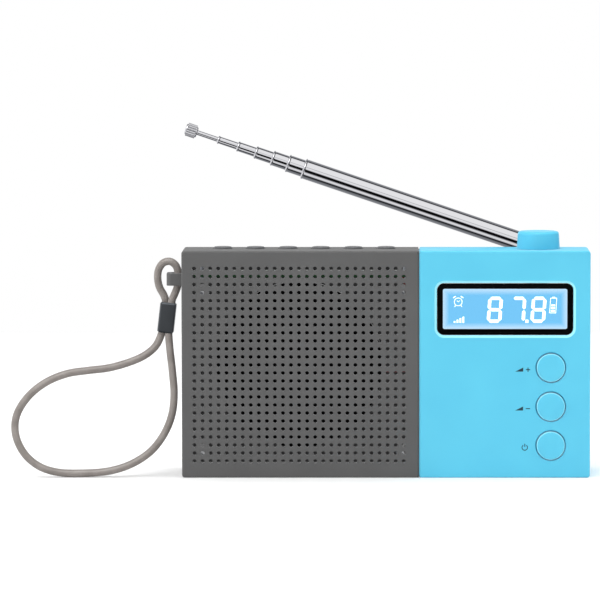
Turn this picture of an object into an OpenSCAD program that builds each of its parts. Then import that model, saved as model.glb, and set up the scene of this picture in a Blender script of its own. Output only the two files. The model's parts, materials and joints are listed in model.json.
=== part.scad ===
// Pocketable tabletop radio: a two-colour cabinet with a speaker half and a
// display half, push keys, a telescopic antenna and a cord wrist strap.
// Millimetres. The origin is the middle of the base, +Z is up, the front faces -Y.

/* [Cabinet] */
// Width of the whole cabinet
body_w = 140; // [130:1:170]
// Height from the base to the front shelf
body_h = 78; // [74:1:96]
// Depth from the front face to the back
body_d = 32; // [30:1:40]
// Width of the left, speaker half
left_w = 81.4; // [76:0.2:90]
// Depth of the front shells, which is the depth of the top shelf
shelf_d = 20.5; // [19:0.5:24]
// How far the rear ledge, where the antenna lies, is below the shelf
ledge_drop = 4.5; // [3:0.5:5]
// Wall of every shell
wall = 2; // [1.6:0.1:2.4]
// Radius of the outer corners in the front view
corner_r = 1; // [0.5:0.1:2]
// Width of the groove between the two halves
seam_w = 0.7; // [0.4:0.1:1]
// Depth of that groove
seam_depth = 0.9; // [0.5:0.1:1.2]

/* [Speaker grille] */
// Columns of holes
hole_cols = 27; // [20:1:27]
// Rows of holes
hole_rows = 25; // [20:1:25]
// Distance between neighbouring holes
hole_pitch = 2.76; // [2.3:0.02:2.8]
// Diameter of one hole
hole_d = 1.4; // [1:0.1:1.6]

/* [Speaker] */
// Diameter of the speaker over its frame
speaker_d = 57; // [46:1:60]
// Diameter of the magnet
magnet_d = 32; // [26:1:36]
// Thickness of the magnet
magnet_t = 6; // [4:0.5:8]
// Thickness of the dust cloth behind the grille
cloth_t = 0.4; // [0.2:0.1:0.6]

/* [Display] */
// Width of the window
window_w = 46.6; // [40:0.2:47]
// Height of the window
window_h = 17.8; // [15:0.2:22]
// Radius of the window corners
window_r = 2.4; // [1:0.1:4]
// Thickness of the window
window_t = 1.4; // [1:0.1:1.5]
// Width of the bevel around the window
bevel_w = 0.9; // [0.4:0.1:1.2]
// Width of the black border seen around the display
border_w = 2; // [1:0.1:3]

/* [Keys] */
// Diameter of a front key
front_key_d = 9.7; // [7:0.1:11]
// Diameter of a top key
top_key_d = 6.3; // [4.5:0.1:7]
// Number of top keys
top_keys = 6; // [6:1:6]
// Distance between neighbouring top keys
top_key_pitch = 11.25; // [10.5:0.05:11.5]
// Distance between neighbouring front keys
front_key_pitch = 13.4; // [12.5:0.1:13.6]
// How far a front key stands out
front_key_proud = 0.6; // [0.5:0.1:1]
// How far a top key stands out
top_key_proud = 0.7; // [0.5:0.1:1]
// Gap all round a key in its hole
key_gap = 0.3; // [0.15:0.05:0.4]
// Travel of a key
key_travel = 0.5; // [0.3:0.05:0.6]

/* [Batteries] */
// Diameter of a cell
cell_d = 14.5; // [12:0.1:14.6]
// Length of a cell with its button
cell_l = 50.5; // [44:0.1:51]
// Gap all round the battery door
door_gap = 0.25; // [0.2:0.05:0.4]

/* [Antenna] */
// Outer diameters of the tubes, then of the tip rod
tube_d = [7, 6, 5.1, 4.2, 3.3, 2.5, 1.7];
// How far each section stands out of the one before it
tube_out = [0, 5.8, 5.65, 6.15, 6.5, 7.2, 7.35];
// Distance from the tilt pin to the mouth of the first tube
tube_1_reach = 85.8; // [80:0.1:92]
// Radial clearance of each section in the one before it
tube_clear = 0.1; // [0.05:0.01:0.1]
// Angle of the antenna above the horizontal
antenna_angle = 18.7; // [15:0.1:40]
// Diameter of the swivel head
swivel_d = 8.6; // [8:0.1:9]
// Diameter of the end cap
cap_d = 4.7; // [4:0.1:6]
// Length of the end cap
cap_l = 4.3; // [3.5:0.1:6]
// Diameter of the tower's foot
tower_d = 14.8; // [12:0.1:14.8]
// Height of the tower over the shelf
tower_h = 6; // [4:0.1:8]

/* [Strap] */
// Diameter of the strap cord
cord_d = 2.6; // [2:0.1:2.6]

/* [Hidden] */
$fn = 48;

// Colours
grey = "#646464";
blue = "#66D3F3";
black = "#15181a";
steel = "#c9ccd0";
board_green = "#2f6b3c";
brass = "#c8a24a";

// Cabinet faces
x0 = -body_w / 2;
x1 = body_w / 2;
y0 = -body_d / 2;
y1 = body_d / 2;
seam_x = x0 + left_w;
step_y = y0 + shelf_d;
ledge_z = body_h - ledge_drop;
in_y0 = y0 + wall;
in_y1 = y1 - wall;
in_top = body_h - wall;
touch = 0.01;
cut = 1;

// Screws and the posts they turn into
post_r = 2.4;
screw_r = 1;
screw_head_r = 1.85;
screw_head_t = 1.6;
screw_gap = 0.1;
case_screw_in = 7;
case_screw_seat = 2.5;

// Grille, centred on the speaker half
grille_x = x0 + 40.2;
grille_z = body_h / 2 - 0.2;
grille_w = (hole_cols - 1) * hole_pitch;
grille_h = (hole_rows - 1) * hole_pitch;

// Speaker, measured back from the cloth
speaker_r = speaker_d / 2;
speaker_y = in_y0 + cloth_t;
rim_t = 1.4;
flange_t = 1.2;
rim_w = 1.5;
edge_w = 3;
roll_w = 3.6;
coil_r = 7;
coil_t = 0.5;
coil_gap = 0.4;
basket_r = magnet_d / 2 + 1;
basket_depth = 9.2;
basket_t = 0.8;
plate_t = 2;
paper_t = 0.4;
plate_z = basket_depth + basket_t;
magnet_z = plate_z + plate_t;
yoke_z = magnet_z + magnet_t;
cone_r = speaker_r - rim_w - edge_w - roll_w;
cone_z = rim_t;
neck_z = 7.6;
speaker_post_r = 2.5;
speaker_post_at = speaker_r + speaker_post_r + 0.7;

// Display
window_x = x1 - 29.2;
window_z = body_h - 20;
window_back = y0 + 0.6 + window_t;
mask_t = 0.4;
mask_lap = 1.2;
lcd_w = window_w - 1.6;
lcd_h = window_h - 1.3;
lcd_t = 1.8;
lcd_gap = 0.1;
holder_wall = 1.2;
fit_gap = 0.1;

// Main board and the switches
board_t = 1.6;
switch_w = 6;
switch_t = 3.5;
key_flange_t = 0.8;
key_flange_w = 0.95;
key_rest_gap = 0.15;
key_stem_r = 1.6;
key_stem_t = 0.75;
board_y = in_y0 + key_rest_gap + key_flange_t + key_stem_t + key_travel + 0.1 + switch_t;
board_x0 = seam_x + 5.6;
board_x1 = x1 - 8.2;
board_z0 = 4;
board_z1 = window_z + window_h / 2 + 3;
wing_x1 = x1 - wall - 0.4;
wing_z0 = 14;
wing_z1 = 38;
front_key_x = x1 - 13.5;
front_key_z = [for (i = [0:2]) 11.1 + i * front_key_pitch];

// Key board under the top keys
key_y = y0 + 12.9;
top_key_x0 = x0 + 13.8;
top_key_x = [for (i = [0:top_keys - 1]) top_key_x0 + i * top_key_pitch];
key_board_top = in_top - key_rest_gap - key_flange_t - key_stem_t - key_travel - 0.1 - switch_t;
key_board_x0 = x0 + 4;
key_board_x1 = seam_x - 1.6;
key_board_y0 = key_y - 6.4;
key_board_y1 = step_y - wall - 0.5;
key_post_r = 2.2;
key_post_x = [x0 + 6.8, seam_x - 4.6];

// Battery bay
cell_gap = 0.1;
tray_wall = 1;
tray_side = 0.2;
spring_l = 4.4;
contact_t = 0.5;
tray_w = 3 * cell_d + 2 * cell_gap + 2 * tray_side + 2 * tray_wall;
tray_h = cell_l + spring_l + 2 * contact_t + 2 * tray_wall;
tray_x = seam_x + (x1 - wall - seam_x) / 2 - 0.4;
tray_z0 = wall + 0.6;
cell_y = in_y1 - 0.3 - cell_d / 2;
tray_y0 = cell_y - cell_d / 2 - tray_side - tray_wall;
cell_z0 = tray_z0 + tray_wall + contact_t + spring_l;
cell_x = [for (i = [-1:1]) tray_x + i * (cell_d + cell_gap)];
button_d = 5.5;
button_l = 1;
spring_r = 3.2;
spring_wire = 0.7;
spring_taper = 1;
spring_turns = 4;
spring_steps = 10 * spring_turns;

// Battery door
door_t = wall - 0.1;
door_lap = 0.6;
door_w = tray_w - 2 * door_lap;
door_h = tray_h - 2 * door_lap;
door_z0 = tray_z0 + door_lap;
door_r = door_t / 2;
door_pivot_y = y1 - door_r;
door_pivot_z = door_z0 + door_r;
hinge_pin_r = 0.6;
hinge_pin_l = 1.4;
hinge_clear = 0.06;
grip_r = 5;

// Antenna
swivel_x = x1 - 17.5;
swivel_y = step_y + 4.5;
pivot_z = body_h - 0.5;
sections = len(tube_d);
blade_t = 3;
blade_r = 3;
blade_gap = 0.1;
pin_r = 1;
pin_clear = 0.05;
tube_start = 5.2;
head_over = 2.2;
head_gap = 0.2;
spigot_r = 2.5;
spigot_clear = 0.05;
bush_r = 3.6;
bush_flange_r = 4.8;
bush_flange_t = 1.5;
nut_r = 3.6;
nut_t = 2;
thread_over = 0.8;
bead_l = 0.8;
bead_out = 0.2;
hold_in = 68;
hold_step = 1.5;
tube_mouth = [for (i = [0:sections - 1]) tube_1_reach + partial_sum(tube_out, i)];
cap_bore_l = 2.5;
rib_count = 14;

// Tower beside the antenna
tower_x = swivel_x;
tower_y = key_y;
tower_top_r = tower_d / 2 - 0.3;
tower_wall = 1.4;
tower_edge = 0.9;
spigot_wall = 1.2;

// Sockets in the right side
jack_r = 1.75;
jack_nose_r = 2.3;
jack_l = 13.3;
jack_z = 32;
jack_body = [11.9, 4.4, 7];
usb_z = 19;
usb_body = [7.5, 2.7, 7.6];
socket_gap = 0.1;

// Strap lug and ferrule
lug_y = y0 + 10;
lug_z = body_h - 12.4;
lug_out = 5.4;
lug_half = 4;
lug_h = 4.2;
lug_bar = 1.9;
lug_cheek = 2;
lug_r = 1.6;
peg_l = wall + 0.8;
peg_w = 1.4;
ferrule_at = [-75.4, -6, 54.4];
ferrule_lean = 6.5;
ferrule_size = [5.6, 5, 10.6];
ferrule_bore = [4.8, 4.1];
ferrule_edge = 0.6;

// The strap: up from inside the ferrule round the long loop, back through the
// ferrule, round the lug and into the ferrule again
cord_points = [
    [-76.5, -5.3, 54.6], [-76.9, -5.3, 50.5], [-78, -5.7, 47], [-79.8, -6.4, 44],
    [-83.4, -7.2, 41.2], [-88.6, -8, 39], [-95.4, -9, 37.2], [-102.6, -10, 36.4],
    [-109.6, -11, 35.4], [-116.3, -12, 32.8], [-122, -12.8, 28.6], [-126, -13.4, 23.2],
    [-127.4, -13.8, 18], [-126.6, -14, 12.6], [-123.6, -14.2, 7.4], [-118.8, -14.4, 3.6],
    [-112.6, -14.5, 1.7], [-104.8, -14.4, 1.4], [-95.6, -14, 2], [-87.6, -13.4, 4.4],
    [-80.8, -12.6, 8.8], [-76.2, -11.6, 14.8], [-73.6, -10.6, 21.4], [-72.9, -9.6, 28.4],
    [-73.5, -8.6, 36], [-74.4, -7.4, 43.6], [-74.8, -6.7, 49.6], [-74.2, -6.7, 55],
    [-73.7, -6.7, 60], [-72.7, -6.5, 62.6], [-71.8, -6.2, 65], [-71.6, -6, 67.6],
    [-71.6, -6, 70.2], [-72.4, -5.9, 72.4], [-74.3, -5.8, 73.7], [-76.6, -5.6, 73.2],
    [-78.2, -5.5, 71], [-78.6, -5.4, 68], [-78, -5.3, 64.8], [-76.5, -5.3, 62],
    [-75.9, -5.3, 59.6], [-76.4, -5.3, 55]];
cord_sides = 8;

// Sum of a list up to and including item i
function partial_sum(list, i) = i < 0 ? 0 : list[i] + partial_sum(list, i - 1);

// Direction of a route at point i
function route_way(route, i) =
    let (step = route[min(i + 1, len(route) - 1)] - route[max(i - 1, 0)])
    step / norm(step);

// Points of one ring around point i, with the ring's first side near "side"
function ring_points(route, i, r, sides, side) =
    let (way = route_way(route, i))
    let (across = cross(way, side) / norm(cross(way, side)))
    let (up = cross(across, way))
    [for (k = [0:sides - 1])
        route[i] + r * (across * cos(360 * k / sides) + up * sin(360 * k / sides))];

// A round tube swept along a route; "side" is a direction the route never takes
module swept_tube(route, d, sides = cord_sides, side = [0, 1, 0]) {
    rings = len(route);
    polyhedron(
        points = [for (i = [0:rings - 1]) each ring_points(route, i, d / 2, sides, side)],
        faces = concat(
            [[for (k = [sides - 1:-1:0]) k]],
            [for (i = [0:rings - 2]) for (k = [0:sides - 1])
                [i * sides + k, i * sides + (k + 1) % sides,
                 (i + 1) * sides + (k + 1) % sides, (i + 1) * sides + k]],
            [[for (k = [0:sides - 1]) (rings - 1) * sides + k]]));
}

// Stretches a front-view outline from ya to yb
module along_y(ya, yb) {
    translate([0, yb, 0]) rotate([90, 0, 0]) linear_extrude(yb - ya) children();
}

// A box given by its low and high corners
module block(low, high) {
    translate(low) cube(high - low);
}

// A cylinder along +Y from ya to yb
module rod_y(x, z, ya, yb, r) {
    translate([x, ya, z]) rotate([-90, 0, 0]) cylinder(r = r, h = yb - ya);
}

// A cylinder along +X from xa to xb
module rod_x(y, z, xa, xb, r) {
    translate([xa, y, z]) rotate([0, 90, 0]) cylinder(r = r, h = xb - xa);
}

// A cylinder along +Z from za to zb
module rod_z(x, y, za, zb, r) {
    translate([x, y, za]) cylinder(r = r, h = zb - za);
}

// What a rounded corner takes off a square outline
module corner_cut(x, z, sx, sz, r) {
    difference() {
        translate([min(x - sx, x + sx * r), min(z - sz, z + sz * r)]) square(r + 1);
        translate([x + sx * r, z + sz * r]) circle(r);
    }
}

// Rectangle with its own radius at the left and at the right corners
module outline(xa, xb, za, zb, left_r, right_r) {
    difference() {
        translate([xa, za]) square([xb - xa, zb - za]);
        if (left_r > 0) {
            corner_cut(xa, za, 1, 1, left_r);
            corner_cut(xa, zb, 1, -1, left_r);
        }
        if (right_r > 0) {
            corner_cut(xb, za, -1, 1, right_r);
            corner_cut(xb, zb, -1, -1, right_r);
        }
    }
}

// Rounded rectangle about a centre
module pane(x, z, w, h, r) {
    outline(x - w / 2, x + w / 2, z - h / 2, z + h / 2, r, r);
}

// What the seam takes off the outside of a half, next to seam_x
module seam_groove(ya, yb, top_z, front, back) {
    inset = seam_depth;
    difference() {
        block([seam_x - seam_w / 2, ya - cut, -cut], [seam_x + seam_w / 2, yb + cut, top_z + cut]);
        block([seam_x - seam_w, front ? ya + inset : ya - 2 * cut, inset],
              [seam_x + seam_w, back ? yb - inset : yb + 2 * cut, top_z - inset]);
    }
}

// Places that take a case screw
case_posts_left = [for (x = [x0 + 6, seam_x - 6]) for (z = [6, ledge_z - 11.5]) [x, z]];
case_posts_right = [for (x = [seam_x + post_r, x1 - wall - post_r - 0.4])
    for (z = [door_pivot_z + 4.85, wing_z1 + 6]) [x, z]];

// Post on a front shell, with the pilot hole from its rear end
module front_posts(places) {
    for (p = places)
        difference() {
            rod_y(p[0], p[1], in_y0 - touch, step_y, post_r);
            rod_y(p[0], p[1], step_y - case_screw_in - 1, step_y + cut, screw_r);
        }
}

// Hollow post on a rear shell that takes the screw's head
module rear_posts(places) {
    for (p = places) rod_y(p[0], p[1], step_y, y1 - touch, post_r);
}

// The holes through those posts
module rear_post_holes(places) {
    for (p = places) {
        rod_y(p[0], p[1], step_y - cut, y1 + cut, screw_r + screw_gap);
        rod_y(p[0], p[1], step_y + case_screw_seat, y1 + cut, screw_head_r + screw_gap);
    }
}

// Outline of the front wall of the speaker half, with every hole in it
module grille_outline() {
    difference() {
        outline(x0, seam_x, 0, body_h, corner_r, 0);
        for (i = [0:hole_cols - 1])
            for (j = [0:hole_rows - 1])
                translate([grille_x - grille_w / 2 + i * hole_pitch,
                           grille_z - grille_h / 2 + j * hole_pitch])
                    circle(d = hole_d, $fn = 24);
    }
}

// Left front shell behind its perforated wall: sides, top, base and rear lip
module left_front_tub() {
    difference() {
        along_y(in_y0 - touch, step_y) outline(x0, seam_x, 0, body_h, corner_r, 0);
        block([x0 + wall, in_y0 - cut, wall], [seam_x + cut, step_y - wall, in_top]);
        block([x0 + wall, step_y - wall - cut, wall], [seam_x + cut, step_y + cut, ledge_z - wall]);
    }
}

module front_grille_shell() {
    color(grey)
    difference() {
        union() {
            along_y(y0, in_y0) grille_outline();
            left_front_tub();
            front_posts(case_posts_left);
            for (a = [45:90:315])
                rod_y(grille_x + speaker_post_at * cos(a), grille_z + speaker_post_at * sin(a),
                      in_y0 - touch, speaker_y + rim_t + flange_t, speaker_post_r);
            for (x = key_post_x) rod_z(x, key_y, key_board_top, in_top + touch, key_post_r);
        }
        seam_groove(y0, step_y, body_h, true, false);
        for (a = [45:90:315])
            rod_y(grille_x + speaker_post_at * cos(a), grille_z + speaker_post_at * sin(a),
                  in_y0 + 0.4, speaker_y + rim_t + flange_t + cut, screw_r);
        for (x = key_post_x) rod_z(x, key_y, key_board_top - cut, in_top - 0.5, screw_r);
        for (x = top_key_x) rod_z(x, key_y, in_top - cut, body_h + cut, top_key_d / 2 + key_gap);
        lug_pegs(socket_gap);
    }
}

module rear_shell_left() {
    color(grey)
    difference() {
        union() {
            difference() {
                along_y(step_y, y1) outline(x0, seam_x, 0, ledge_z, corner_r, 0);
                block([x0 + wall, step_y - cut, wall], [seam_x + cut, in_y1, ledge_z - wall]);
            }
            rear_posts(case_posts_left);
        }
        rear_post_holes(case_posts_left);
        seam_groove(step_y, y1, ledge_z, false, true);
    }
}

// The bevelled opening of the display window, cut from the front
module window_opening() {
    hull() {
        along_y(y0 - touch, y0) pane(window_x, window_z, window_w + 2 * bevel_w,
            window_h + 2 * bevel_w, window_r + bevel_w, $fn = 32);
        along_y(window_back - window_t, window_back - window_t + touch)
            pane(window_x, window_z, window_w + 2 * fit_gap, window_h + 2 * fit_gap,
                window_r + fit_gap, $fn = 32);
    }
    along_y(y0 - cut, in_y0 + cut)
        pane(window_x, window_z, window_w + 2 * fit_gap, window_h + 2 * fit_gap, window_r + fit_gap);
}

board_posts = [for (x = [board_x0 + 3, front_key_x - 10.5])
    for (z = [8, window_z - window_h / 2 - 6]) [x, z]];

module front_shell_right() {
    color(blue)
    difference() {
        union() {
            difference() {
                along_y(y0, step_y) outline(seam_x, x1, 0, body_h, 0, corner_r);
                block([seam_x - cut, in_y0, wall], [x1 - wall, step_y - wall, in_top]);
                block([seam_x - cut, step_y - wall - cut, wall],
                      [x1 - wall, step_y + cut, ledge_z - wall]);
            }
            front_posts(case_posts_right);
            for (p = board_posts) rod_y(p[0], p[1], in_y0 - touch, board_y, post_r);
        }
        seam_groove(y0, step_y, body_h, true, false);
        window_opening();
        for (p = board_posts) rod_y(p[0], p[1], in_y0 + 0.5, board_y + cut, screw_r);
        for (z = front_key_z)
            rod_y(front_key_x, z, y0 - cut, in_y0 + cut, front_key_d / 2 + key_gap);
        rod_z(tower_x, tower_y, in_top - cut, body_h + cut, tower_top_r - tower_wall);
        rod_x(board_y + board_t + jack_body[1] / 2, jack_z, x1 - wall - cut, x1 + cut,
              jack_nose_r + socket_gap);
        block([x1 - wall - cut, board_y + board_t - socket_gap, usb_z - usb_body[2] / 2 - socket_gap],
              [x1 + cut, board_y + board_t + usb_body[1] + socket_gap,
               usb_z + usb_body[2] / 2 + socket_gap]);
    }
}

module rear_shell_right() {
    color(blue)
    difference() {
        union() {
            difference() {
                along_y(step_y, y1) outline(seam_x, x1, 0, ledge_z, 0, corner_r);
                block([seam_x - cut, step_y - cut, wall], [x1 - wall, in_y1, ledge_z - wall]);
            }
            rear_posts(case_posts_right);
        }
        rear_post_holes(case_posts_right);
        seam_groove(step_y, y1, ledge_z, false, true);
        block([tray_x - door_w / 2 - door_gap, in_y1 - cut, door_z0 - door_gap],
              [tray_x + door_w / 2 + door_gap, y1 + cut, door_z0 + door_h + door_gap]);
        rod_x(door_pivot_y, door_pivot_z, tray_x - door_w / 2 - door_gap - hinge_pin_l,
              tray_x + door_w / 2 + door_gap + hinge_pin_l, hinge_pin_r + hinge_clear);
        rod_z(swivel_x, swivel_y, ledge_z - wall - cut, ledge_z + cut, bush_r);
    }
}

// Fixed turret with a rounded top edge; its spigot sits in the shelf
module antenna_tower() {
    color(blue)
    translate([tower_x, tower_y, body_h])
        rotate_extrude($fn = 96)
            difference() {
                union() {
                    polygon([[0, 0], [tower_d / 2, 0],
                             [tower_top_r, tower_h - tower_edge], [0, tower_h - tower_edge]]);
                    translate([0, tower_h - tower_edge - touch])
                        square([tower_top_r - tower_edge, tower_edge + touch]);
                    intersection() {
                        translate([tower_top_r - tower_edge, tower_h - tower_edge])
                            circle(tower_edge);
                        translate([0, tower_h - tower_edge - touch])
                            square([tower_d, tower_edge + touch]);
                    }
                    translate([0, -wall])
                        square([tower_top_r - tower_wall - fit_gap, wall + touch]);
                }
                translate([-touch, -wall - cut])
                    square([tower_top_r - tower_wall - fit_gap - spigot_wall,
                            tower_h + wall + cut - tower_wall]);
            }
}

// Battery door: a plate with a full-round lower edge on two short pins
module battery_door() {
    color(blue)
    difference() {
        union() {
            block([tray_x - door_w / 2, y1 - door_t, door_pivot_z],
                  [tray_x + door_w / 2, y1, door_z0 + door_h]);
            rod_x(door_pivot_y, door_pivot_z, tray_x - door_w / 2, tray_x + door_w / 2, door_r);
            rod_x(door_pivot_y, door_pivot_z, tray_x - door_w / 2 - hinge_pin_l,
                  tray_x + door_w / 2 + hinge_pin_l, hinge_pin_r);
        }
        translate([tray_x, y1 + grip_r - 0.9, door_z0 + door_h - 5])
            sphere(grip_r);
    }
}

module case_screws() {
    color(steel)
    for (p = concat(case_posts_left, case_posts_right)) {
        y = step_y + case_screw_seat;
        difference() {
            union() {
                rod_y(p[0], p[1], y, y + screw_head_t, screw_head_r);
                rod_y(p[0], p[1], step_y - case_screw_in, y + touch, screw_r);
            }
            cross_slot(p[0], p[1], y + screw_head_t);
        }
    }
}

// Cross recess of a screw head whose face is at y and looks to +Y
module cross_slot(x, z, y) {
    block([x - 1.1, y - 0.8, z - 0.25], [x + 1.1, y + cut, z + 0.25]);
    block([x - 0.25, y - 0.8, z - 1.1], [x + 0.25, y + cut, z + 1.1]);
}

// The two pegs of the lug, grown by gap
module lug_pegs(gap) {
    for (s = [-1, 1]) {
        y = lug_y + s * (lug_half - lug_cheek / 2);
        block([x0 - (gap > 0 ? cut : touch), y - peg_w / 2 - gap, lug_z + 1 - gap],
              [x0 + peg_l + gap, y + peg_w / 2 + gap, lug_z + lug_h - 1 + gap]);
    }
}

// Loop on the left side that the strap goes through
module strap_lug() {
    color(grey) {
        difference() {
            translate([0, 0, lug_z]) linear_extrude(lug_h)
                difference() {
                    outline(x0 - lug_out, x0, lug_y - lug_half, lug_y + lug_half, lug_r, 0);
                    translate([x0 - lug_out + lug_bar, lug_y - lug_half + lug_cheek])
                        square([lug_out, 2 * (lug_half - lug_cheek)]);
                }
        }
        lug_pegs(0);
    }
}

module display_window() {
    color("#b9d9e6", 0.4)
    along_y(window_back - window_t, window_back)
        pane(window_x, window_z, window_w, window_h, window_r);
}

// Black border behind the window, which also glues it in
module window_mask() {
    color(black)
    along_y(in_y0, in_y0 + mask_t)
        difference() {
            pane(window_x, window_z, window_w + 2 * mask_lap, window_h + 2 * mask_lap, window_r);
            pane(window_x, window_z, window_w - 2 * border_w, window_h - 2 * border_w, 0.6);
        }
}

module lcd_glass() {
    color("#7DC8F5")
    along_y(in_y0 + mask_t, in_y0 + mask_t + lcd_t)
        pane(window_x, window_z, lcd_w, lcd_h, 0.3);
}

module lcd_backlight() {
    color("white")
    along_y(in_y0 + mask_t + lcd_t, board_y) pane(window_x, window_z, lcd_w, lcd_h, 0.3);
}

module lcd_holder() {
    color(black)
    along_y(in_y0 + mask_t, board_y)
        difference() {
            pane(window_x, window_z, lcd_w + 2 * lcd_gap + 2 * holder_wall,
                 lcd_h + 2 * lcd_gap + 2 * holder_wall, 1);
            pane(window_x, window_z, lcd_w + 2 * lcd_gap, lcd_h + 2 * lcd_gap, 0.3);
        }
}

module main_board() {
    color(board_green)
    along_y(board_y, board_y + board_t)
        difference() {
            union() {
                translate([board_x0, board_z0]) square([board_x1 - board_x0, board_z1 - board_z0]);
                translate([board_x1 - touch, wing_z0])
                    square([wing_x1 - board_x1 + touch, wing_z1 - wing_z0]);
            }
            for (p = board_posts) translate(p) circle(screw_r + screw_gap);
        }
}

module key_board() {
    color(board_green)
    translate([0, 0, key_board_top - board_t]) linear_extrude(board_t)
        difference() {
            translate([key_board_x0, key_board_y0])
                square([key_board_x1 - key_board_x0, key_board_y1 - key_board_y0]);
            for (x = key_post_x) translate([x, key_y]) circle(screw_r + screw_gap);
        }
}

// Bodies of the tact switches; each key carries the button that works one
module key_switches() {
    color("#3a3d40") {
        for (z = front_key_z)
            block([front_key_x - switch_w / 2, board_y - switch_t, z - switch_w / 2],
                  [front_key_x + switch_w / 2, board_y, z + switch_w / 2]);
        for (x = top_key_x)
            block([x - switch_w / 2, key_y - switch_w / 2, key_board_top],
                  [x + switch_w / 2, key_y + switch_w / 2, key_board_top + switch_t]);
    }
}

// Tinned can over the tuner, open towards the board
module tuner_shield() {
    back = board_y + board_t;
    color(steel)
    difference() {
        block([board_x0 + 6, back, 42], [board_x0 + 24, back + 3, 56]);
        block([board_x0 + 6.3, back - cut, 42.3], [board_x0 + 23.7, back + 2.7, 55.7]);
    }
}

// Tuner chip, controller, amplifier and two reservoir capacitors
module board_components() {
    back = board_y + board_t;
    color(black) {
        block([board_x0 + 12, back, 46], [board_x0 + 18, back + 1.2, 52]);
        block([board_x0 + 14, back, 22], [board_x0 + 24, back + 1.6, 32]);
        block([board_x0 + 30, back, 14], [board_x0 + 36, back + 1.6, 19]);
    }
    color("#20344f")
    for (x = [board_x0 + 13, board_x0 + 22]) rod_y(x, board_z1 - 4.5, back, back + 9, 3.2);
}

module board_screws() {
    color(steel) {
        for (p = board_posts) {
            y = board_y + board_t;
            difference() {
                union() {
                    rod_y(p[0], p[1], y, y + 1.4, screw_head_r);
                    rod_y(p[0], p[1], board_y - 4, y + touch, screw_r);
                }
                cross_slot(p[0], p[1], y + 1.4);
            }
        }
        for (x = key_post_x) {
            z = key_board_top - board_t;
            rod_z(x, key_y, z - 1.4, z, screw_head_r);
            rod_z(x, key_y, z - touch, key_board_top + 3.5, screw_r);
        }
    }
}

module phones_jack() {
    y = board_y + board_t + jack_body[1] / 2;
    xa = x1 - 0.2;
    color(black)
    difference() {
        union() {
            block([x1 - wall - 0.1 - jack_body[0], y - jack_body[1] / 2, jack_z - jack_body[2] / 2],
                  [x1 - wall - 0.1, y + jack_body[1] / 2, jack_z + jack_body[2] / 2]);
            rod_x(y, jack_z, x1 - wall - 0.1 - touch, xa, jack_nose_r);
        }
        rod_x(y, jack_z, xa - jack_l, xa + cut, jack_r);
    }
}

// Charging socket: a shell with a tongue
module usb_socket() {
    y = board_y + board_t;
    xa = x1 - 0.2;
    color(steel)
    difference() {
        block([xa - usb_body[0], y, usb_z - usb_body[2] / 2],
              [xa, y + usb_body[1], usb_z + usb_body[2] / 2]);
        difference() {
            block([xa - usb_body[0] + 1, y + 0.3, usb_z - usb_body[2] / 2 + 0.3],
                  [xa + cut, y + usb_body[1] - 0.3, usb_z + usb_body[2] / 2 - 0.3]);
            block([xa - usb_body[0], y + 1, usb_z - 2.6], [xa - 1, y + 1.6, usb_z + 2.6]);
        }
    }
}

// Speaker pair, battery pair, antenna lead and key-board pair
module wiring() {
    back = board_y + board_t;
    frame_back = speaker_y + rim_t + flange_t;
    lead_d = 1.1;
    lead_end = 0.8;
    run_y = back + 2.1;
    key_run_y = back + 0.9;
    bush_foot = ledge_z - wall - bush_flange_t;
    lead_x = swivel_x - nut_r - lead_d / 2 - 0.05;
    color("firebrick")
    for (i = [0:1]) {
        z = grille_z - 3 - 2 * i;
        swept_tube([[grille_x + speaker_r - 1.6, frame_back, z],
                    [grille_x + speaker_r - 1.6, frame_back + 5, z],
                    [grille_x + speaker_r + 1, run_y, z], [seam_x - 4, run_y, z],
                    [board_x0 - 2, run_y, z], [board_x0 + 1.2, run_y - 0.3, z],
                    [board_x0 + 2, back + lead_end, z], [board_x0 + 2, back, z]],
                   lead_d, 8, [0, 0, 1]);
    }
    color("black")
    for (x = [cell_x[0], cell_x[2]])
        swept_tube([[x, tray_y0 + tray_wall + 6, tray_z0 + tray_h],
                    [x, tray_y0 + tray_wall + 6, tray_z0 + tray_h + lead_end],
                    [x, tray_y0 + tray_wall + 5, tray_z0 + tray_h + 1.9],
                    [x, tray_y0 + 1, tray_z0 + tray_h + 2], [x, back + 2, tray_z0 + tray_h + 2],
                    [x, back, tray_z0 + tray_h + 2]], lead_d, 8, [1, 0, 0]);
    color("gold")
    swept_tube([[lead_x, swivel_y, bush_foot], [lead_x, swivel_y, bush_foot - lead_end],
                [lead_x, swivel_y - 1, bush_foot - 3], [lead_x, swivel_y - 5, bush_foot - 5],
                [lead_x, back + 3, board_z1 - 4], [lead_x, back, board_z1 - 4]],
               lead_d, 8, [1, 0, 0]);
    color("white")
    for (i = [0:1]) {
        z = key_board_top - board_t - 2 * i;
        swept_tube([[key_board_x1 - 4 + 2 * i, key_run_y, key_board_top - board_t],
                    [key_board_x1 - 4 + 2 * i, key_run_y, key_board_top - board_t - lead_end],
                    [key_board_x1 - 3.4 + 2 * i, key_run_y, z - 2.4], [seam_x, key_run_y, z - 3.6],
                    [board_x0 + 2, key_run_y, z - 3.6], [board_x0 + 4, key_run_y, z - 3.6],
                    [board_x0 + 4.7, back + lead_end, z - 3.6], [board_x0 + 4.7, back, z - 3.6]],
                   lead_d, 8, [1, 1, 1]);
    }
}

module grille_cloth() {
    color("#101112")
    rod_y(grille_x, grille_z, in_y0, in_y0 + cloth_t, speaker_r);
}

// Turns a profile whose second coordinate runs back from the cloth
module speaker_turned() {
    translate([grille_x, speaker_y, grille_z]) rotate([-90, 0, 0])
        rotate_extrude($fn = 96) children();
}

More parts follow.
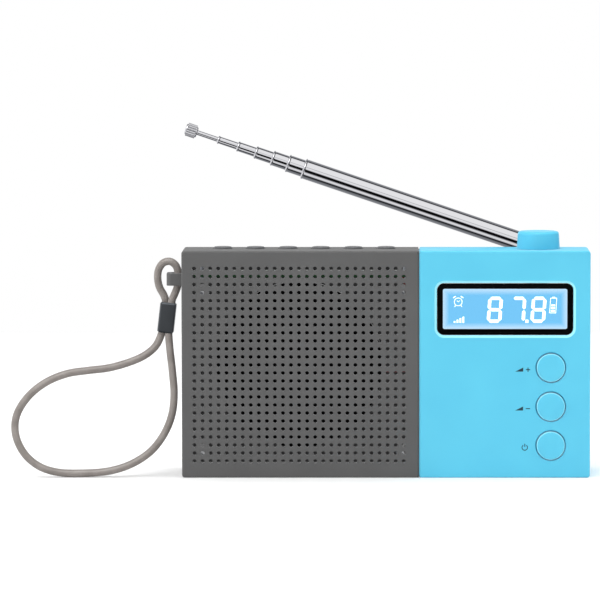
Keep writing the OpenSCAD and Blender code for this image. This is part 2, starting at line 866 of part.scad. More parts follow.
module speaker_frame() {
    flange_z = rim_t + flange_t;
    inner = speaker_r - rim_w - edge_w;
    color("#4b4f52")
    difference() {
        speaker_turned()
            polygon([[speaker_r - rim_w, 0], [speaker_r, 0], [speaker_r, flange_z],
                     [inner + basket_t, flange_z], [basket_r, plate_z], [coil_r + 3, plate_z],
                     [coil_r + 3, basket_depth], [basket_r - basket_t, basket_depth],
                     [inner, flange_z - touch], [inner, rim_t], [speaker_r - rim_w, rim_t]]);
        for (a = [0:90:270])
            translate([grille_x, speaker_y + (flange_z + basket_depth) / 2 + 0.3, grille_z])
                rotate([0, a, 0]) block([-4.5, -1.8, 0], [4.5, 1.8, speaker_r - 1]);
    }
}

// Half-roll surround with a flat edge on the frame
module speaker_surround() {
    roll_r = roll_w / 2;
    mid = cone_r + roll_r;
    color("#1b1c1d")
    speaker_turned() {
        translate([mid + roll_r - 0.1, rim_t - paper_t]) square([edge_w - 0.1, paper_t]);
        difference() {
            translate([mid, rim_t]) scale([1, 0.6]) circle(roll_r);
            translate([mid, rim_t]) scale([1, 0.6]) circle(roll_r - paper_t);
            translate([mid - roll_r - cut, rim_t]) square([2 * roll_r + 2 * cut, roll_r + cut]);
        }
    }
}

module speaker_cone() {
    color("#2a2b2c")
    speaker_turned()
        polygon([[cone_r + paper_t, cone_z], [cone_r + paper_t, cone_z + paper_t],
                 [cone_r - 0.4, cone_z + paper_t],
                 [coil_r + coil_t + 0.1, neck_z + paper_t], [coil_r + coil_t + 0.1, neck_z],
                 [cone_r - 0.4 - paper_t, cone_z]]);
}

// Domed cap glued inside the neck of the cone
module dust_cap() {
    dome_r = 9;
    dome_z = neck_z - 0.3 + sqrt(dome_r * dome_r - coil_r * coil_r);
    color("#2f3031")
    speaker_turned()
        intersection() {
            difference() {
                translate([0, dome_z]) circle(dome_r);
                translate([0, dome_z]) circle(dome_r - paper_t);
            }
            square([coil_r, neck_z - 0.3]);
        }
}

module voice_coil() {
    color(brass)
    speaker_turned()
        translate([coil_r, neck_z - 0.3]) square([coil_t, magnet_z + 1 - neck_z + 0.3]);
}

// Corrugated damper between the coil and the frame
module speaker_spider() {
    from = coil_r + coil_t;
    to = basket_r - basket_t - 0.6;
    steps = 16;
    z = basket_depth - paper_t - 0.5;
    upper = [for (i = [0:steps]) [from + (to - from) * i / steps, z + 0.5 * (i % 2)]];
    lower = [for (i = [steps:-1:0]) upper[i] + [0, paper_t]];
    color("#b08a4c")
    speaker_turned() polygon(concat(upper, lower));
}

module speaker_top_plate() {
    color(steel)
    speaker_turned()
        translate([coil_r + coil_t + coil_gap, plate_z])
            square([magnet_d / 2 - 1 - coil_r - coil_t - coil_gap, plate_t]);
}

module speaker_magnet() {
    color("#3b3b3e")
    speaker_turned()
        translate([coil_r + 3, magnet_z]) square([magnet_d / 2 - coil_r - 3, magnet_t]);
}

module speaker_yoke() {
    color(steel)
    speaker_turned() {
        translate([0, plate_z]) square([coil_r - coil_gap, magnet_t + plate_t + touch]);
        translate([0, yoke_z]) square([magnet_d / 2 - 1, plate_t]);
    }
}

module speaker_screws() {
    y = speaker_y + rim_t + flange_t;
    washer_r = speaker_post_r + 1.7;
    color(steel)
    for (a = [45:90:315]) {
        x = grille_x + speaker_post_at * cos(a);
        z = grille_z + speaker_post_at * sin(a);
        difference() {
            union() {
                rod_y(x, z, y, y + 0.6, washer_r);
                rod_y(x, z, y + 0.6 - touch, y + 2, screw_head_r);
                rod_y(x, z, in_y0 + 0.8, y + touch, screw_r - 0.02);
            }
            cross_slot(x, z, y + 2);
        }
    }
}

module battery_tray() {
    color(black)
    difference() {
        block([tray_x - tray_w / 2, tray_y0, tray_z0],
              [tray_x + tray_w / 2, in_y1, tray_z0 + tray_h]);
        block([tray_x - tray_w / 2 + tray_wall, tray_y0 + tray_wall, tray_z0 + tray_wall],
              [tray_x + tray_w / 2 - tray_wall, in_y1 + cut, tray_z0 + tray_h - tray_wall]);
    }
}

// Three cells side by side, the middle one the other way up
module battery_cells() {
    for (i = [0:2])
        translate([cell_x[i], cell_y, i == 1 ? cell_z0 - spring_l + cell_l : cell_z0])
            mirror([0, 0, i == 1 ? 1 : 0]) {
                color("#c98b2e") cylinder(d = cell_d, h = cell_l - button_l);
                color(steel) translate([0, 0, cell_l - button_l - touch])
                    cylinder(d = button_d, h = button_l + touch);
            }
}

// A plate for each end of each cell, with a spring at the flat ends
module battery_contacts() {
    low = tray_z0 + tray_wall;
    high = tray_z0 + tray_h - tray_wall - contact_t;
    reach = cell_d / 2 - 1.5;
    color(steel)
    for (i = [0:2]) {
        block([cell_x[i] - reach, cell_y - reach, low],
              [cell_x[i] + reach, cell_y + reach, low + contact_t]);
        block([cell_x[i] - reach, cell_y - reach, high],
              [cell_x[i] + reach, cell_y + reach, high + contact_t]);
        translate([cell_x[i], cell_y, i == 1 ? high - spring_l : low + contact_t])
            swept_tube([for (k = [0:spring_steps])
                let (turn = 360 * spring_turns * k / spring_steps)
                let (r = spring_r - spring_taper * k / spring_steps)
                [r * cos(turn), r * sin(turn),
                 spring_wire / 2 + 0.1 + (spring_l - spring_wire - 0.2) * k / spring_steps]],
                spring_wire, 6, [0, 0, 1]);
    }
}

module antenna_bush() {
    color(brass)
    translate([swivel_x, swivel_y, ledge_z - wall - bush_flange_t])
        difference() {
            union() {
                cylinder(r = bush_flange_r, h = bush_flange_t);
                cylinder(r = bush_r, h = bush_flange_t + wall);
            }
            translate([0, 0, -cut])
                cylinder(r = spigot_r + spigot_clear, h = bush_flange_t + wall + 2 * cut);
        }
}

// Hexagon nut that keeps the post in the bush and turns with it
module antenna_nut() {
    color(steel)
    translate([swivel_x, swivel_y, ledge_z - wall - bush_flange_t - head_gap - nut_t])
        difference() {
            cylinder(r = nut_r, h = nut_t, $fn = 6);
            translate([0, 0, -cut]) cylinder(r = spigot_r, h = nut_t + 2 * cut);
        }
}

module swivel_post() {
    foot = ledge_z - wall - bush_flange_t - head_gap - nut_t - thread_over;
    color(steel)
    difference() {
        union() {
            rod_z(swivel_x, swivel_y, foot, ledge_z + head_gap + touch, spigot_r);
            rod_z(swivel_x, swivel_y, ledge_z + head_gap, pivot_z + head_over, swivel_d / 2);
        }
        block([swivel_x - swivel_d, swivel_y - blade_t / 2 - blade_gap, pivot_z - blade_r - blade_gap],
              [swivel_x + swivel_d, swivel_y + blade_t / 2 + blade_gap, pivot_z + swivel_d]);
        rod_y(swivel_x, pivot_z, swivel_y - swivel_d, swivel_y + swivel_d, pin_r);
    }
}

module tilt_pin() {
    color(steel)
    rod_y(swivel_x, pivot_z, swivel_y - swivel_d / 2 + 0.1, swivel_y + swivel_d / 2 - 0.1, pin_r);
}

// Puts a shape that runs along +Z from the tilt pin into the antenna's place
module on_antenna() {
    translate([swivel_x, swivel_y, pivot_z]) rotate([0, antenna_angle - 90, 0]) children();
}

// Flat blade on the tilt pin, with a plug that closes the first tube
module antenna_root() {
    plug_l = 5;
    color(steel)
    on_antenna()
        difference() {
            union() {
                translate([0, -blade_t / 2, 0]) rotate([-90, 0, 0]) cylinder(r = blade_r, h = blade_t);
                block([-blade_r + 0.2, -blade_t / 2, 0], [blade_r - 0.2, blade_t / 2, tube_start]);
                translate([0, 0, tube_start - touch])
                    cylinder(d = tube_bore(0), h = plug_l + touch);
            }
            translate([0, -blade_t, 0]) rotate([-90, 0, 0])
                cylinder(r = pin_r + pin_clear, h = 2 * blade_t);
        }
}

// Bore of section i, made to carry the next one
function tube_bore(i) = tube_d[i + 1] + 2 * tube_clear;

// Distance from the tilt pin to the inner end of section i
function tube_foot(i) = i == 0 ? tube_start : tube_mouth[i - 1] - hold_in + hold_step * (i - 1);

// Section i of the antenna: a tube with a rolled bead at its mouth
module antenna_tube(i) {
    reach = tube_mouth[i];
    foot = tube_foot(i);
    color(steel)
    on_antenna()
        difference() {
            union() {
                translate([0, 0, foot]) cylinder(d = tube_d[i], h = reach - foot);
                translate([0, 0, reach - bead_l])
                    cylinder(d = tube_d[i] + 2 * bead_out, h = bead_l);
            }
            translate([0, 0, foot - cut]) cylinder(d = tube_bore(i), h = reach - foot + 2 * cut);
        }
}

module antenna_tip_rod() {
    last = sections - 1;
    color(steel)
    on_antenna()
        translate([0, 0, tube_foot(last)])
            cylinder(d = tube_d[last], h = tube_mouth[last] + cap_bore_l - tube_foot(last));
}

// Ribbed cap pressed on the tip rod
module antenna_cap() {
    last = sections - 1;
    color(steel)
    on_antenna()
        translate([0, 0, tube_mouth[last]])
            difference() {
                cylinder(d = cap_d, h = cap_l);
                translate([0, 0, -cut]) cylinder(d = tube_d[last], h = cap_bore_l + cut);
                for (k = [0:rib_count - 1])
                    rotate([0, 0, k * 360 / rib_count]) translate([cap_d / 2 + 0.1, 0, 0.7])
                        cylinder(r = 0.35, h = cap_l, $fn = 16);
            }
}

// Cap, flange and button of a key that is pressed along +Y
module front_key(i) {
    z = front_key_z[i];
    flange_y = in_y0 + key_rest_gap;
    color(blue) {
        rod_y(front_key_x, z, y0 - front_key_proud, flange_y + touch, front_key_d / 2);
        rod_y(front_key_x, z, flange_y, flange_y + key_flange_t, front_key_d / 2 + key_flange_w);
        rod_y(front_key_x, z, flange_y + key_flange_t - touch,
              flange_y + key_flange_t + key_stem_t, key_stem_r);
    }
}

// The same for a key that is pressed down
module top_key(i) {
    x = top_key_x[i - 1];
    flange_z = in_top - key_rest_gap;
    color("#4a4c4e") {
        rod_z(x, key_y, flange_z - touch, body_h + top_key_proud, top_key_d / 2);
        rod_z(x, key_y, flange_z - key_flange_t, flange_z, top_key_d / 2 + key_flange_w);
        rod_z(x, key_y, flange_z - key_flange_t - key_stem_t, flange_z - key_flange_t + touch,
              key_stem_r - 0.2);
    }
}

module strap_cord() {
    color("#8A8480") swept_tube(cord_points, cord_d);
}

// Crimped sleeve that holds both strands of the cord
module strap_ferrule() {
    w = ferrule_size[0];
    d = ferrule_size[1];
    h = ferrule_size[2];
    color("#474B4E")
    translate(ferrule_at) rotate([0, ferrule_lean, 0])
        difference() {
            intersection() {
                translate([0, 0, -h / 2]) linear_extrude(h)
                    outline(-w / 2, w / 2, -d / 2, d / 2, ferrule_edge, ferrule_edge);
                rotate([90, 0, 0]) translate([0, 0, -d]) linear_extrude(2 * d)
                    polygon([[-w / 2, -h / 2 + ferrule_edge], [-w / 2 + ferrule_edge, -h / 2],
                             [w / 2 - ferrule_edge, -h / 2], [w / 2, -h / 2 + ferrule_edge],
                             [w / 2, h / 2 - ferrule_edge], [w / 2 - ferrule_edge, h / 2],
                             [-w / 2 + ferrule_edge, h / 2], [-w / 2, h / 2 - ferrule_edge]]);
            }
            translate([-ferrule_bore[0] / 2, -ferrule_bore[1] / 2, -h])
                cube([ferrule_bore[0], ferrule_bore[1], 2 * h]);
        }
}

front_grille_shell();
rear_shell_left();
front_shell_right();
rear_shell_right();
antenna_tower();
battery_door();
case_screws();
strap_lug();
display_window();
window_mask();
lcd_glass();
lcd_backlight();
lcd_holder();
main_board();
key_board();
key_switches();
tuner_shield();
board_components();
board_screws();
phones_jack();
usb_socket();
wiring();
grille_cloth();
speaker_frame();
speaker_surround();
speaker_cone();
dust_cap();
voice_coil();
speaker_spider();
speaker_top_plate();
speaker_magnet();
speaker_yoke();
speaker_screws();
battery_tray();
battery_cells();
battery_contacts();
antenna_bush();
antenna_nut();
swivel_post();
tilt_pin();
antenna_root();
for (i = [1:6]) antenna_tube(i - 1);
antenna_tip_rod();
antenna_cap();
front_key(2);  // volume_up_key
front_key(1);  // volume_down_key
front_key(0);  // power_key
for (i = [1:top_keys]) top_key(i);
strap_cord();
strap_ferrule();
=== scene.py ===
"""Visual model of a small two-tone tabletop radio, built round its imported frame.

Each sub-assembly is a class that builds its pieces in metres, in the frame's own place, and gives
them their finish. Sizes in the classes are in millimetres.
"""

import json
import logging
import math
from dataclasses import dataclass, field
from enum import Enum
from typing import Any, Callable, Iterable, Sequence

import bmesh
import bpy
from mathutils import Matrix, Vector

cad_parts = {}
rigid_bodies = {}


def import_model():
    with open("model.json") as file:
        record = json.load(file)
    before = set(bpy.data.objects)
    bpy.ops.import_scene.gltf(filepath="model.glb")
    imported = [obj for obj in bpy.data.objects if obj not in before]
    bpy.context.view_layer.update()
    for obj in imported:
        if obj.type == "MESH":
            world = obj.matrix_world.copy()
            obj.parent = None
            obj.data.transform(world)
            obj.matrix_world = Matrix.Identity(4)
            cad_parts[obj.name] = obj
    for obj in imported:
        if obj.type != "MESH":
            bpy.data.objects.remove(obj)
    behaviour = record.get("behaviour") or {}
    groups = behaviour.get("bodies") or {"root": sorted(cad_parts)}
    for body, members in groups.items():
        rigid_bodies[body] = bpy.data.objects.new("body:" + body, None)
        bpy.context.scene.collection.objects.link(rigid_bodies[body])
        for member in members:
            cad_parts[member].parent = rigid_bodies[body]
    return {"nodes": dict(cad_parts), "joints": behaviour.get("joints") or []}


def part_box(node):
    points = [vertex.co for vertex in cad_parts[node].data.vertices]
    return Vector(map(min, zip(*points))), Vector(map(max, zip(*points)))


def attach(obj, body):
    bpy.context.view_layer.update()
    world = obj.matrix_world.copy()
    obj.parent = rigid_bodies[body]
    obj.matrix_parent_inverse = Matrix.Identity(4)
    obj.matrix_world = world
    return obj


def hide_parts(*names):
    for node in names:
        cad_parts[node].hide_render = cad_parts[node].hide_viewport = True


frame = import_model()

LOG = logging.getLogger("radio")
MM = 0.001
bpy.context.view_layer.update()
Point = tuple[float, float, float]
Outline = list[tuple[float, float]]


# ---------------------------------------------------------------- small helpers


def srgb(code: str) -> tuple[float, float, float, float]:
    """Turns an sRGB hex colour into a linear colour.

    Args:
        code: Six hex digits after a hash.

    Returns:
        Linear red, green and blue, and an alpha of 1.
    """
    parts = [int(code[i:i + 2], 16) / 255 for i in (1, 3, 5)]
    linear = [p / 12.92 if p <= 0.04045 else ((p + 0.055) / 1.055) ** 2.4 for p in parts]
    return linear[0], linear[1], linear[2], 1.0


def add_node(tree: bpy.types.NodeTree, kind: str, inputs: dict[Any, Any] | None = None,
             **settings: Any) -> bpy.types.Node:
    """Adds a node with its settings, values and links.

    Args:
        tree: The tree that gets the node.
        kind: The node's type name.
        inputs: Values, or sockets to link from, by input name or number.
        **settings: Properties of the node.

    Returns:
        The new node.
    """
    node = tree.nodes.new(kind)
    for name, value in settings.items():
        setattr(node, name, value)
    for key, value in (inputs or {}).items():
        if isinstance(value, bpy.types.NodeSocket):
            tree.links.new(value, node.inputs[key])
        else:
            node.inputs[key].default_value = value
    return node


def link_object(name: str, mesh: bpy.types.Mesh) -> bpy.types.Object:
    """Puts a mesh in the scene as an object at the origin.

    Args:
        name: The object's name.
        mesh: Its mesh, already in place.

    Returns:
        The new object.
    """
    obj = bpy.data.objects.new(name, mesh)
    bpy.context.scene.collection.objects.link(obj)
    return obj


def object_from(name: str, bm: bmesh.types.BMesh, turned: bool = True) -> bpy.types.Object:
    """Makes an object of a bmesh, with its faces pointing outwards.

    Args:
        name: The object's name.
        bm: The mesh, which is freed.
        turned: Whether the normals are worked out afresh.

    Returns:
        The new object.
    """
    if turned:
        bmesh.ops.recalc_face_normals(bm, faces=bm.faces)
    mesh = bpy.data.meshes.new(name)
    bm.to_mesh(mesh)
    bm.free()
    return link_object(name, mesh)


def bake_modifiers(obj: bpy.types.Object) -> bpy.types.Object:
    """Turns an object's modifiers into its plain mesh.

    Args:
        obj: The object, whose modifiers are removed.

    Returns:
        The same object.
    """
    graph = bpy.context.evaluated_depsgraph_get()
    graph.update()
    mesh = bpy.data.meshes.new_from_object(obj.evaluated_get(graph))
    old = obj.data
    obj.modifiers.clear()
    obj.data = mesh
    mesh.name = obj.name
    bpy.data.meshes.remove(old)
    return obj


def soften(obj: bpy.types.Object, sharp_deg: float = 38, bevel_mm: float = 0,
           steps: int = 2) -> bpy.types.Object:
    """Gives an object rounded edges and clean shading.

    Args:
        obj: The object.
        sharp_deg: Edges steeper than this stay sharp, or are bevelled.
        bevel_mm: Width of the bevel, or 0 for none.
        steps: Segments of the bevel.

    Returns:
        The same object.
    """
    if bevel_mm > 0:
        bevel = obj.modifiers.new("edge", "BEVEL")
        bevel.width = bevel_mm * MM
        bevel.segments = steps
        bevel.limit_method = "ANGLE"
        bevel.angle_limit = math.radians(sharp_deg)
        bevel.use_clamp_overlap = True
        bake_modifiers(obj)
    mesh = obj.data
    mesh.polygons.foreach_set("use_smooth", [True] * len(mesh.polygons))
    bm = bmesh.new()
    bm.from_mesh(mesh)
    for edge in bm.edges:
        edge.smooth = edge.is_manifold and edge.calc_face_angle(0) < math.radians(sharp_deg)
    bm.to_mesh(mesh)
    bm.free()
    normal = obj.modifiers.new("normals", "WEIGHTED_NORMAL")
    normal.keep_sharp = True
    return bake_modifiers(obj)


def cad_copy(node: str, name: str) -> bpy.types.Object:
    """Copies a frame node's mesh as one closed surface that can be bevelled.

    Args:
        node: The frame's node.
        name: The new object's name.

    Returns:
        The copy, merged and with its flat faces whole.
    """
    bm = bmesh.new()
    bm.from_mesh(frame["nodes"][node].data)
    bmesh.ops.remove_doubles(bm, verts=bm.verts, dist=0.002 * MM)
    bmesh.ops.dissolve_limit(bm, angle_limit=math.radians(1), verts=bm.verts, edges=bm.edges)
    return object_from(name, bm)


def lathe(profile: Sequence[tuple[float, float]], place: Matrix, segments: int = 64,
          closed: bool = False) -> bmesh.types.BMesh:
    """Turns a profile about an axis.

    Args:
        profile: Radius and height of each point, in millimetres.
        place: Where the turned shape's own Z axis goes, in metres.
        segments: Sides of the round.
        closed: Whether the last point joins the first, as in a tube.

    Returns:
        The turned surface. A point of radius 0 becomes a pole.
    """
    bm = bmesh.new()
    rings: list[list[bmesh.types.BMVert]] = []
    for radius, height in profile:
        count = 1 if radius < 1e-6 else segments
        rings.append([
            bm.verts.new(place @ Vector((radius * MM * math.cos(2 * math.pi * k / segments),
                                         radius * MM * math.sin(2 * math.pi * k / segments),
                                         height * MM)))
            for k in range(count)
        ])
    pairs = list(zip(rings, rings[1:])) + ([(rings[-1], rings[0])] if closed else [])
    for low, high in pairs:
        for k in range(segments):
            corners = [low[k % len(low)], low[(k + 1) % len(low)],
                       high[(k + 1) % len(high)], high[k % len(high)]]
            unique = list(dict.fromkeys(corners))
            if len(unique) > 2:
                bm.faces.new(unique)
    return bm


def arc(centre: tuple[float, float], radius: float, start: float, end: float,
        steps: int = 4) -> Outline:
    """Points along an arc, given in degrees.

    Args:
        centre: Centre of the arc.
        radius: Its radius.
        start: Angle of the first point.
        end: Angle of the last point.
        steps: Number of chords.

    Returns:
        The points, both ends included.
    """
    angles = [math.radians(start + (end - start) * i / steps) for i in range(steps + 1)]
    return [(centre[0] + radius * math.cos(a), centre[1] + radius * math.sin(a)) for a in angles]


def rounded_rect(x0: float, x1: float, z0: float, z1: float, left_r: float,
                 right_r: float, steps: int = 5) -> Outline:
    """Outline of a rectangle with round corners, anticlockwise.

    Args:
        x0: Left side.
        x1: Right side.
        z0: Lower side.
        z1: Upper side.
        left_r: Radius of the left corners.
        right_r: Radius of the right corners.
        steps: Chords in a corner.

    Returns:
        The outline's points.
    """
    a, b = max(left_r, 0.02), max(right_r, 0.02)
    return (arc((x1 - b, z0 + b), b, -90, 0, steps) + arc((x1 - b, z1 - b), b, 0, 90, steps)
            + arc((x0 + a, z1 - a), a, 90, 180, steps) + arc((x0 + a, z0 + a), a, 180, 270, steps))


def loft(loops: Sequence[tuple[float, Outline]]) -> bmesh.types.BMesh:
    """Joins outlines of one point count that lie at different depths.

    Args:
        loops: Depth in Y and outline in X and Z of each loop, in millimetres.

    Returns:
        A closed skin, with a face over the first and the last loop.
    """
    bm = bmesh.new()
    rows = [[bm.verts.new((x * MM, y * MM, z * MM)) for x, z in outline] for y, outline in loops]
    for one, two in zip(rows, rows[1:]):
        for k in range(len(one)):
            after = (k + 1) % len(one)
            bm.faces.new((one[k], one[after], two[after], two[k]))
    bm.faces.new(rows[0])
    bm.faces.new(rows[-1])
    return bm


def cut_away(obj: bpy.types.Object, cutters: Iterable[bmesh.types.BMesh]) -> bpy.types.Object:
    """Takes closed shapes out of an object.

    Args:
        obj: The object to cut.
        cutters: The shapes, which are used up.

    Returns:
        The same object.
    """
    for i, cutter in enumerate(cutters):
        tool = object_from(f"cutter_{i}", cutter)
        boolean = obj.modifiers.new("cut", "BOOLEAN")
        boolean.operation = "DIFFERENCE"
        boolean.solver = "EXACT"
        boolean.object = tool
        bake_modifiers(obj)
        bpy.data.objects.remove(tool)
    return obj


def facing(axis: str, at: Point) -> Matrix:
    """Place of a turned shape whose own Z axis runs along a frame axis.

    Args:
        axis: One of -Y, +Y, +X and +Z.
        at: Where its origin goes, in metres.

    Returns:
        The matrix that puts it there.
    """
    turn = {"-Y": Matrix.Rotation(math.pi / 2, 4, "X"), "+Y": Matrix.Rotation(-math.pi / 2, 4, "X"),
            "+X": Matrix.Rotation(math.pi / 2, 4, "Y"), "+Z": Matrix.Identity(4)}[axis]
    return Matrix.Translation(at) @ turn


def dress(obj: bpy.types.Object, finish: "Finish", body: str = "root",
          nodes: Sequence[str] = ()) -> bpy.types.Object:
    """Gives a new piece its finish and its place in the frame.

    Args:
        obj: The piece.
        finish: Its finish.
        body: The body that it rides on.
        nodes: The frame nodes that it stands for.

    Returns:
        The same object.
    """
    obj.data.materials.clear()
    obj.data.materials.append(finish.material())
    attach(obj, body)
    if nodes:
        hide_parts(*nodes)
    LOG.info("%s on %s, %d faces", obj.name, body, len(obj.data.polygons))
    return obj


def edge_finish(obj: bpy.types.Object, finish: "Finish", picked: Callable[[Vector, Vector], bool],
                ) -> None:
    """Gives some faces of a dressed piece a second finish.

    Args:
        obj: The piece.
        finish: The second finish.
        picked: Says from a face's middle and normal whether it gets the finish.
    """
    obj.data.materials.append(finish.material())
    for face in obj.data.polygons:
        if picked(face.center, face.normal):
            face.material_index = 1


def repaint(node: str, finish: "Finish") -> None:
    """Gives a frame node a finish, and keeps its shape.

    Args:
        node: The node's name.
        finish: Its finish.
    """
    obj = frame["nodes"][node]
    for slot in obj.material_slots:
        slot.material = finish.material()
    LOG.info("%s keeps its shape", node)


def mid(node: str) -> Vector:
    """Middle of a frame node's box, in metres."""
    low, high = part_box(node)
    return (low + high) / 2


# ---------------------------------------------------------------- finishes


@dataclass(frozen=True)
class Finish:
    """What every finish has: a name, a colour and how rough it is."""

    name: str
    color: str
    roughness: float = 0.5

    def material(self) -> bpy.types.Material:
        """The material, made on first use.

        Returns:
            The material.
        """
        found = bpy.data.materials.get(self.name)
        if found:
            return found
        made = bpy.data.materials.new(self.name)
        made.use_nodes = True
        tree = made.node_tree
        shader = tree.nodes["Principled BSDF"]
        shader.inputs["Base Color"].default_value = srgb(self.color)
        shader.inputs["Roughness"].default_value = self.roughness
        made.diffuse_color = srgb(self.color)
        self.detail(tree, shader)
        return made

    def detail(self, tree: bpy.types.NodeTree, shader: bpy.types.Node) -> None:
        """Adds what this finish has besides colour and roughness."""

    def place(self, tree: bpy.types.NodeTree) -> bpy.types.NodeSocket:
        """The point on the piece, in metres, which patterns are laid out on."""
        return add_node(tree, "ShaderNodeTexCoord").outputs["Object"]

    def noise(self, tree: bpy.types.NodeTree, size_mm: float, detail: float = 2,
              where: bpy.types.NodeSocket | None = None) -> bpy.types.NodeSocket:
        """Noise whose patches are a given size across.

        Args:
            tree: The material's tree.
            size_mm: Size of a patch.
            detail: Octaves of finer noise.
            where: The coordinate, or None for the piece's own.

        Returns:
            The noise value's socket.
        """
        node = add_node(tree, "ShaderNodeTexNoise", {
            "Vector": where or self.place(tree), "Scale": 1 / (size_mm * MM), "Detail": detail})
        return node.outputs[0]

    def vary(self, tree: bpy.types.NodeTree, shader: bpy.types.Node, value: bpy.types.NodeSocket,
             low: str, high: str) -> None:
        """Runs the base colour from low to high with a value.

        Args:
            tree: The material's tree.
            shader: Its shader node.
            value: The value that drives it.
            low: The colour at low values.
            high: The colour at high values.
        """
        ramp = add_node(tree, "ShaderNodeValToRGB", {0: value})
        ramp.color_ramp.elements[0].color = srgb(low)
        ramp.color_ramp.elements[0].position = 0.3
        ramp.color_ramp.elements[1].color = srgb(high)
        ramp.color_ramp.elements[1].position = 0.7
        tree.links.new(ramp.outputs[0], shader.inputs["Base Color"])

    def rough(self, tree: bpy.types.NodeTree, shader: bpy.types.Node,
              value: bpy.types.NodeSocket, spread: float) -> None:
        """Spreads the roughness about its own value.

        Args:
            tree: The material's tree.
            shader: Its shader node.
            value: The value that drives it.
            spread: How far it goes to each side.
        """
        node = add_node(tree, "ShaderNodeMapRange", {
            0: value, 3: self.roughness - spread, 4: self.roughness + spread})
        tree.links.new(node.outputs[0], shader.inputs["Roughness"])

    def bump(self, tree: bpy.types.NodeTree, shader: bpy.types.Node, value: bpy.types.NodeSocket,
             height_mm: float, strength: float = 1.0) -> None:
        """Raises the surface with a value.

        Args:
            tree: The material's tree.
            shader: Its shader node.
            value: The value that drives it.
            height_mm: How high the surface rises.
            strength: How much of that shows.
        """
        node = add_node(tree, "ShaderNodeBump", {
            "Height": value, "Distance": height_mm * MM, "Strength": strength})
        tree.links.new(node.outputs[0], shader.inputs["Normal"])


@dataclass(frozen=True)
class MouldedAbs(Finish):
    """ABS from a spark-eroded mould: an even satin skin with a very fine pebble."""

    grain_mm: float = 0.28
    depth_mm: float = 0.006
    low: str = ""
    high: str = ""

    def detail(self, tree: bpy.types.NodeTree, shader: bpy.types.Node) -> None:
        """Adds the pebble, slow changes of tone and of gloss.

        Args:
            tree: The material's tree.
            shader: Its shader node.
        """
        # The true pebble is about 0.05 mm; it is drawn coarser so that it shows.
        grain = self.noise(tree, self.grain_mm, 3)
        cloud = self.noise(tree, 18, 2)
        self.bump(tree, shader, grain, self.depth_mm, 0.6)
        self.rough(tree, shader, cloud, 0.05)
        if self.low:
            self.vary(tree, shader, cloud, self.low, self.high)
        shader.inputs["IOR"].default_value = 1.53


@dataclass(frozen=True)
class BrightMetal(Finish):
    """Plated or bare metal with the fine lines that its working left."""

    line_mm: float = 0.2
    depth_mm: float = 0.0006
    spread: float = 0.03
    stretch: Point = (1, 1, 1)

    def detail(self, tree: bpy.types.NodeTree, shader: bpy.types.Node) -> None:
        """Adds the metal and its working lines.

        Args:
            tree: The material's tree.
            shader: Its shader node.
        """
        shader.inputs["Metallic"].default_value = 1.0
        where = add_node(tree, "ShaderNodeMapping", {"Vector": self.place(tree),
                                                     "Scale": self.stretch}).outputs[0]
        lines = self.noise(tree, self.line_mm, 2, where)
        self.bump(tree, shader, lines, self.depth_mm, 0.35)
        self.rough(tree, shader, self.noise(tree, 6, 2), self.spread)


@dataclass(frozen=True)
class ClearAcrylic(Finish):
    """Cast acrylic window: clear, polished, a faint cool tint."""

    def detail(self, tree: bpy.types.NodeTree, shader: bpy.types.Node) -> None:
        """Makes it clear, with faint polish marks that only change its gloss.

        Args:
            tree: The material's tree.
            shader: Its shader node.
        """
        self.rough(tree, shader, self.noise(tree, 3, 1), 0.01)
        shader.inputs["Transmission Weight"].default_value = 1.0
        shader.inputs["IOR"].default_value = 1.49
        shader.inputs["Specular IOR Level"].default_value = 0.2


@dataclass(frozen=True)
class GlossInk(Finish):
    """Screen-printed ink: opaque, with a hint of the mesh in its surface."""

    def detail(self, tree: bpy.types.NodeTree, shader: bpy.types.Node) -> None:
        """Adds the ink's faint orange peel."""
        self.rough(tree, shader, self.noise(tree, 0.4, 1), 0.05)


@dataclass(frozen=True)
class LitGlass(Finish):
    """Display glass over its light guide: lit evenly, paler where the guide's edge glows."""

    edge: str = "#CDEBFF"
    strength: float = 1.0
    middle: Point = (0, 0, 0)
    half: tuple[float, float] = (21.3, 6.9)
    glow_mm: float = 2.2

    def detail(self, tree: bpy.types.NodeTree, shader: bpy.types.Node) -> None:
        """Adds the light, from the distance to the nearest edge.

        Args:
            tree: The material's tree.
            shader: Its shader node.
        """
        parts = add_node(tree, "ShaderNodeSeparateXYZ", {0: self.place(tree)})
        near = []
        for axis, half in ((0, self.half[0]), (2, self.half[1])):
            off = add_node(tree, "ShaderNodeMath", {0: parts.outputs[axis], 1: self.middle[axis]},
                           operation="SUBTRACT")
            size = add_node(tree, "ShaderNodeMath", {0: off.outputs[0]}, operation="ABSOLUTE")
            near.append(add_node(tree, "ShaderNodeMapRange", {
                0: size.outputs[0], 1: (half - self.glow_mm) * MM, 2: half * MM}))
        glow = add_node(tree, "ShaderNodeMath", {0: near[0].outputs[0], 1: near[1].outputs[0]},
                        operation="MAXIMUM")
        ramp = add_node(tree, "ShaderNodeValToRGB", {0: glow.outputs[0]})
        ramp.color_ramp.elements[0].color = srgb(self.color)
        ramp.color_ramp.elements[1].color = srgb(self.edge)
        tree.links.new(ramp.outputs[0], shader.inputs["Emission Color"])
        shader.inputs["Emission Strength"].default_value = self.strength
        shader.inputs["Base Color"].default_value = srgb("#0B1218")


@dataclass(frozen=True)
class LitSegment(Finish):
    """Clear segment of the display, where the white light comes straight through."""

    strength: float = 1.0

    def detail(self, tree: bpy.types.NodeTree, shader: bpy.types.Node) -> None:
        """Adds the light."""
        shader.inputs["Emission Color"].default_value = srgb(self.color)
        shader.inputs["Emission Strength"].default_value = self.strength


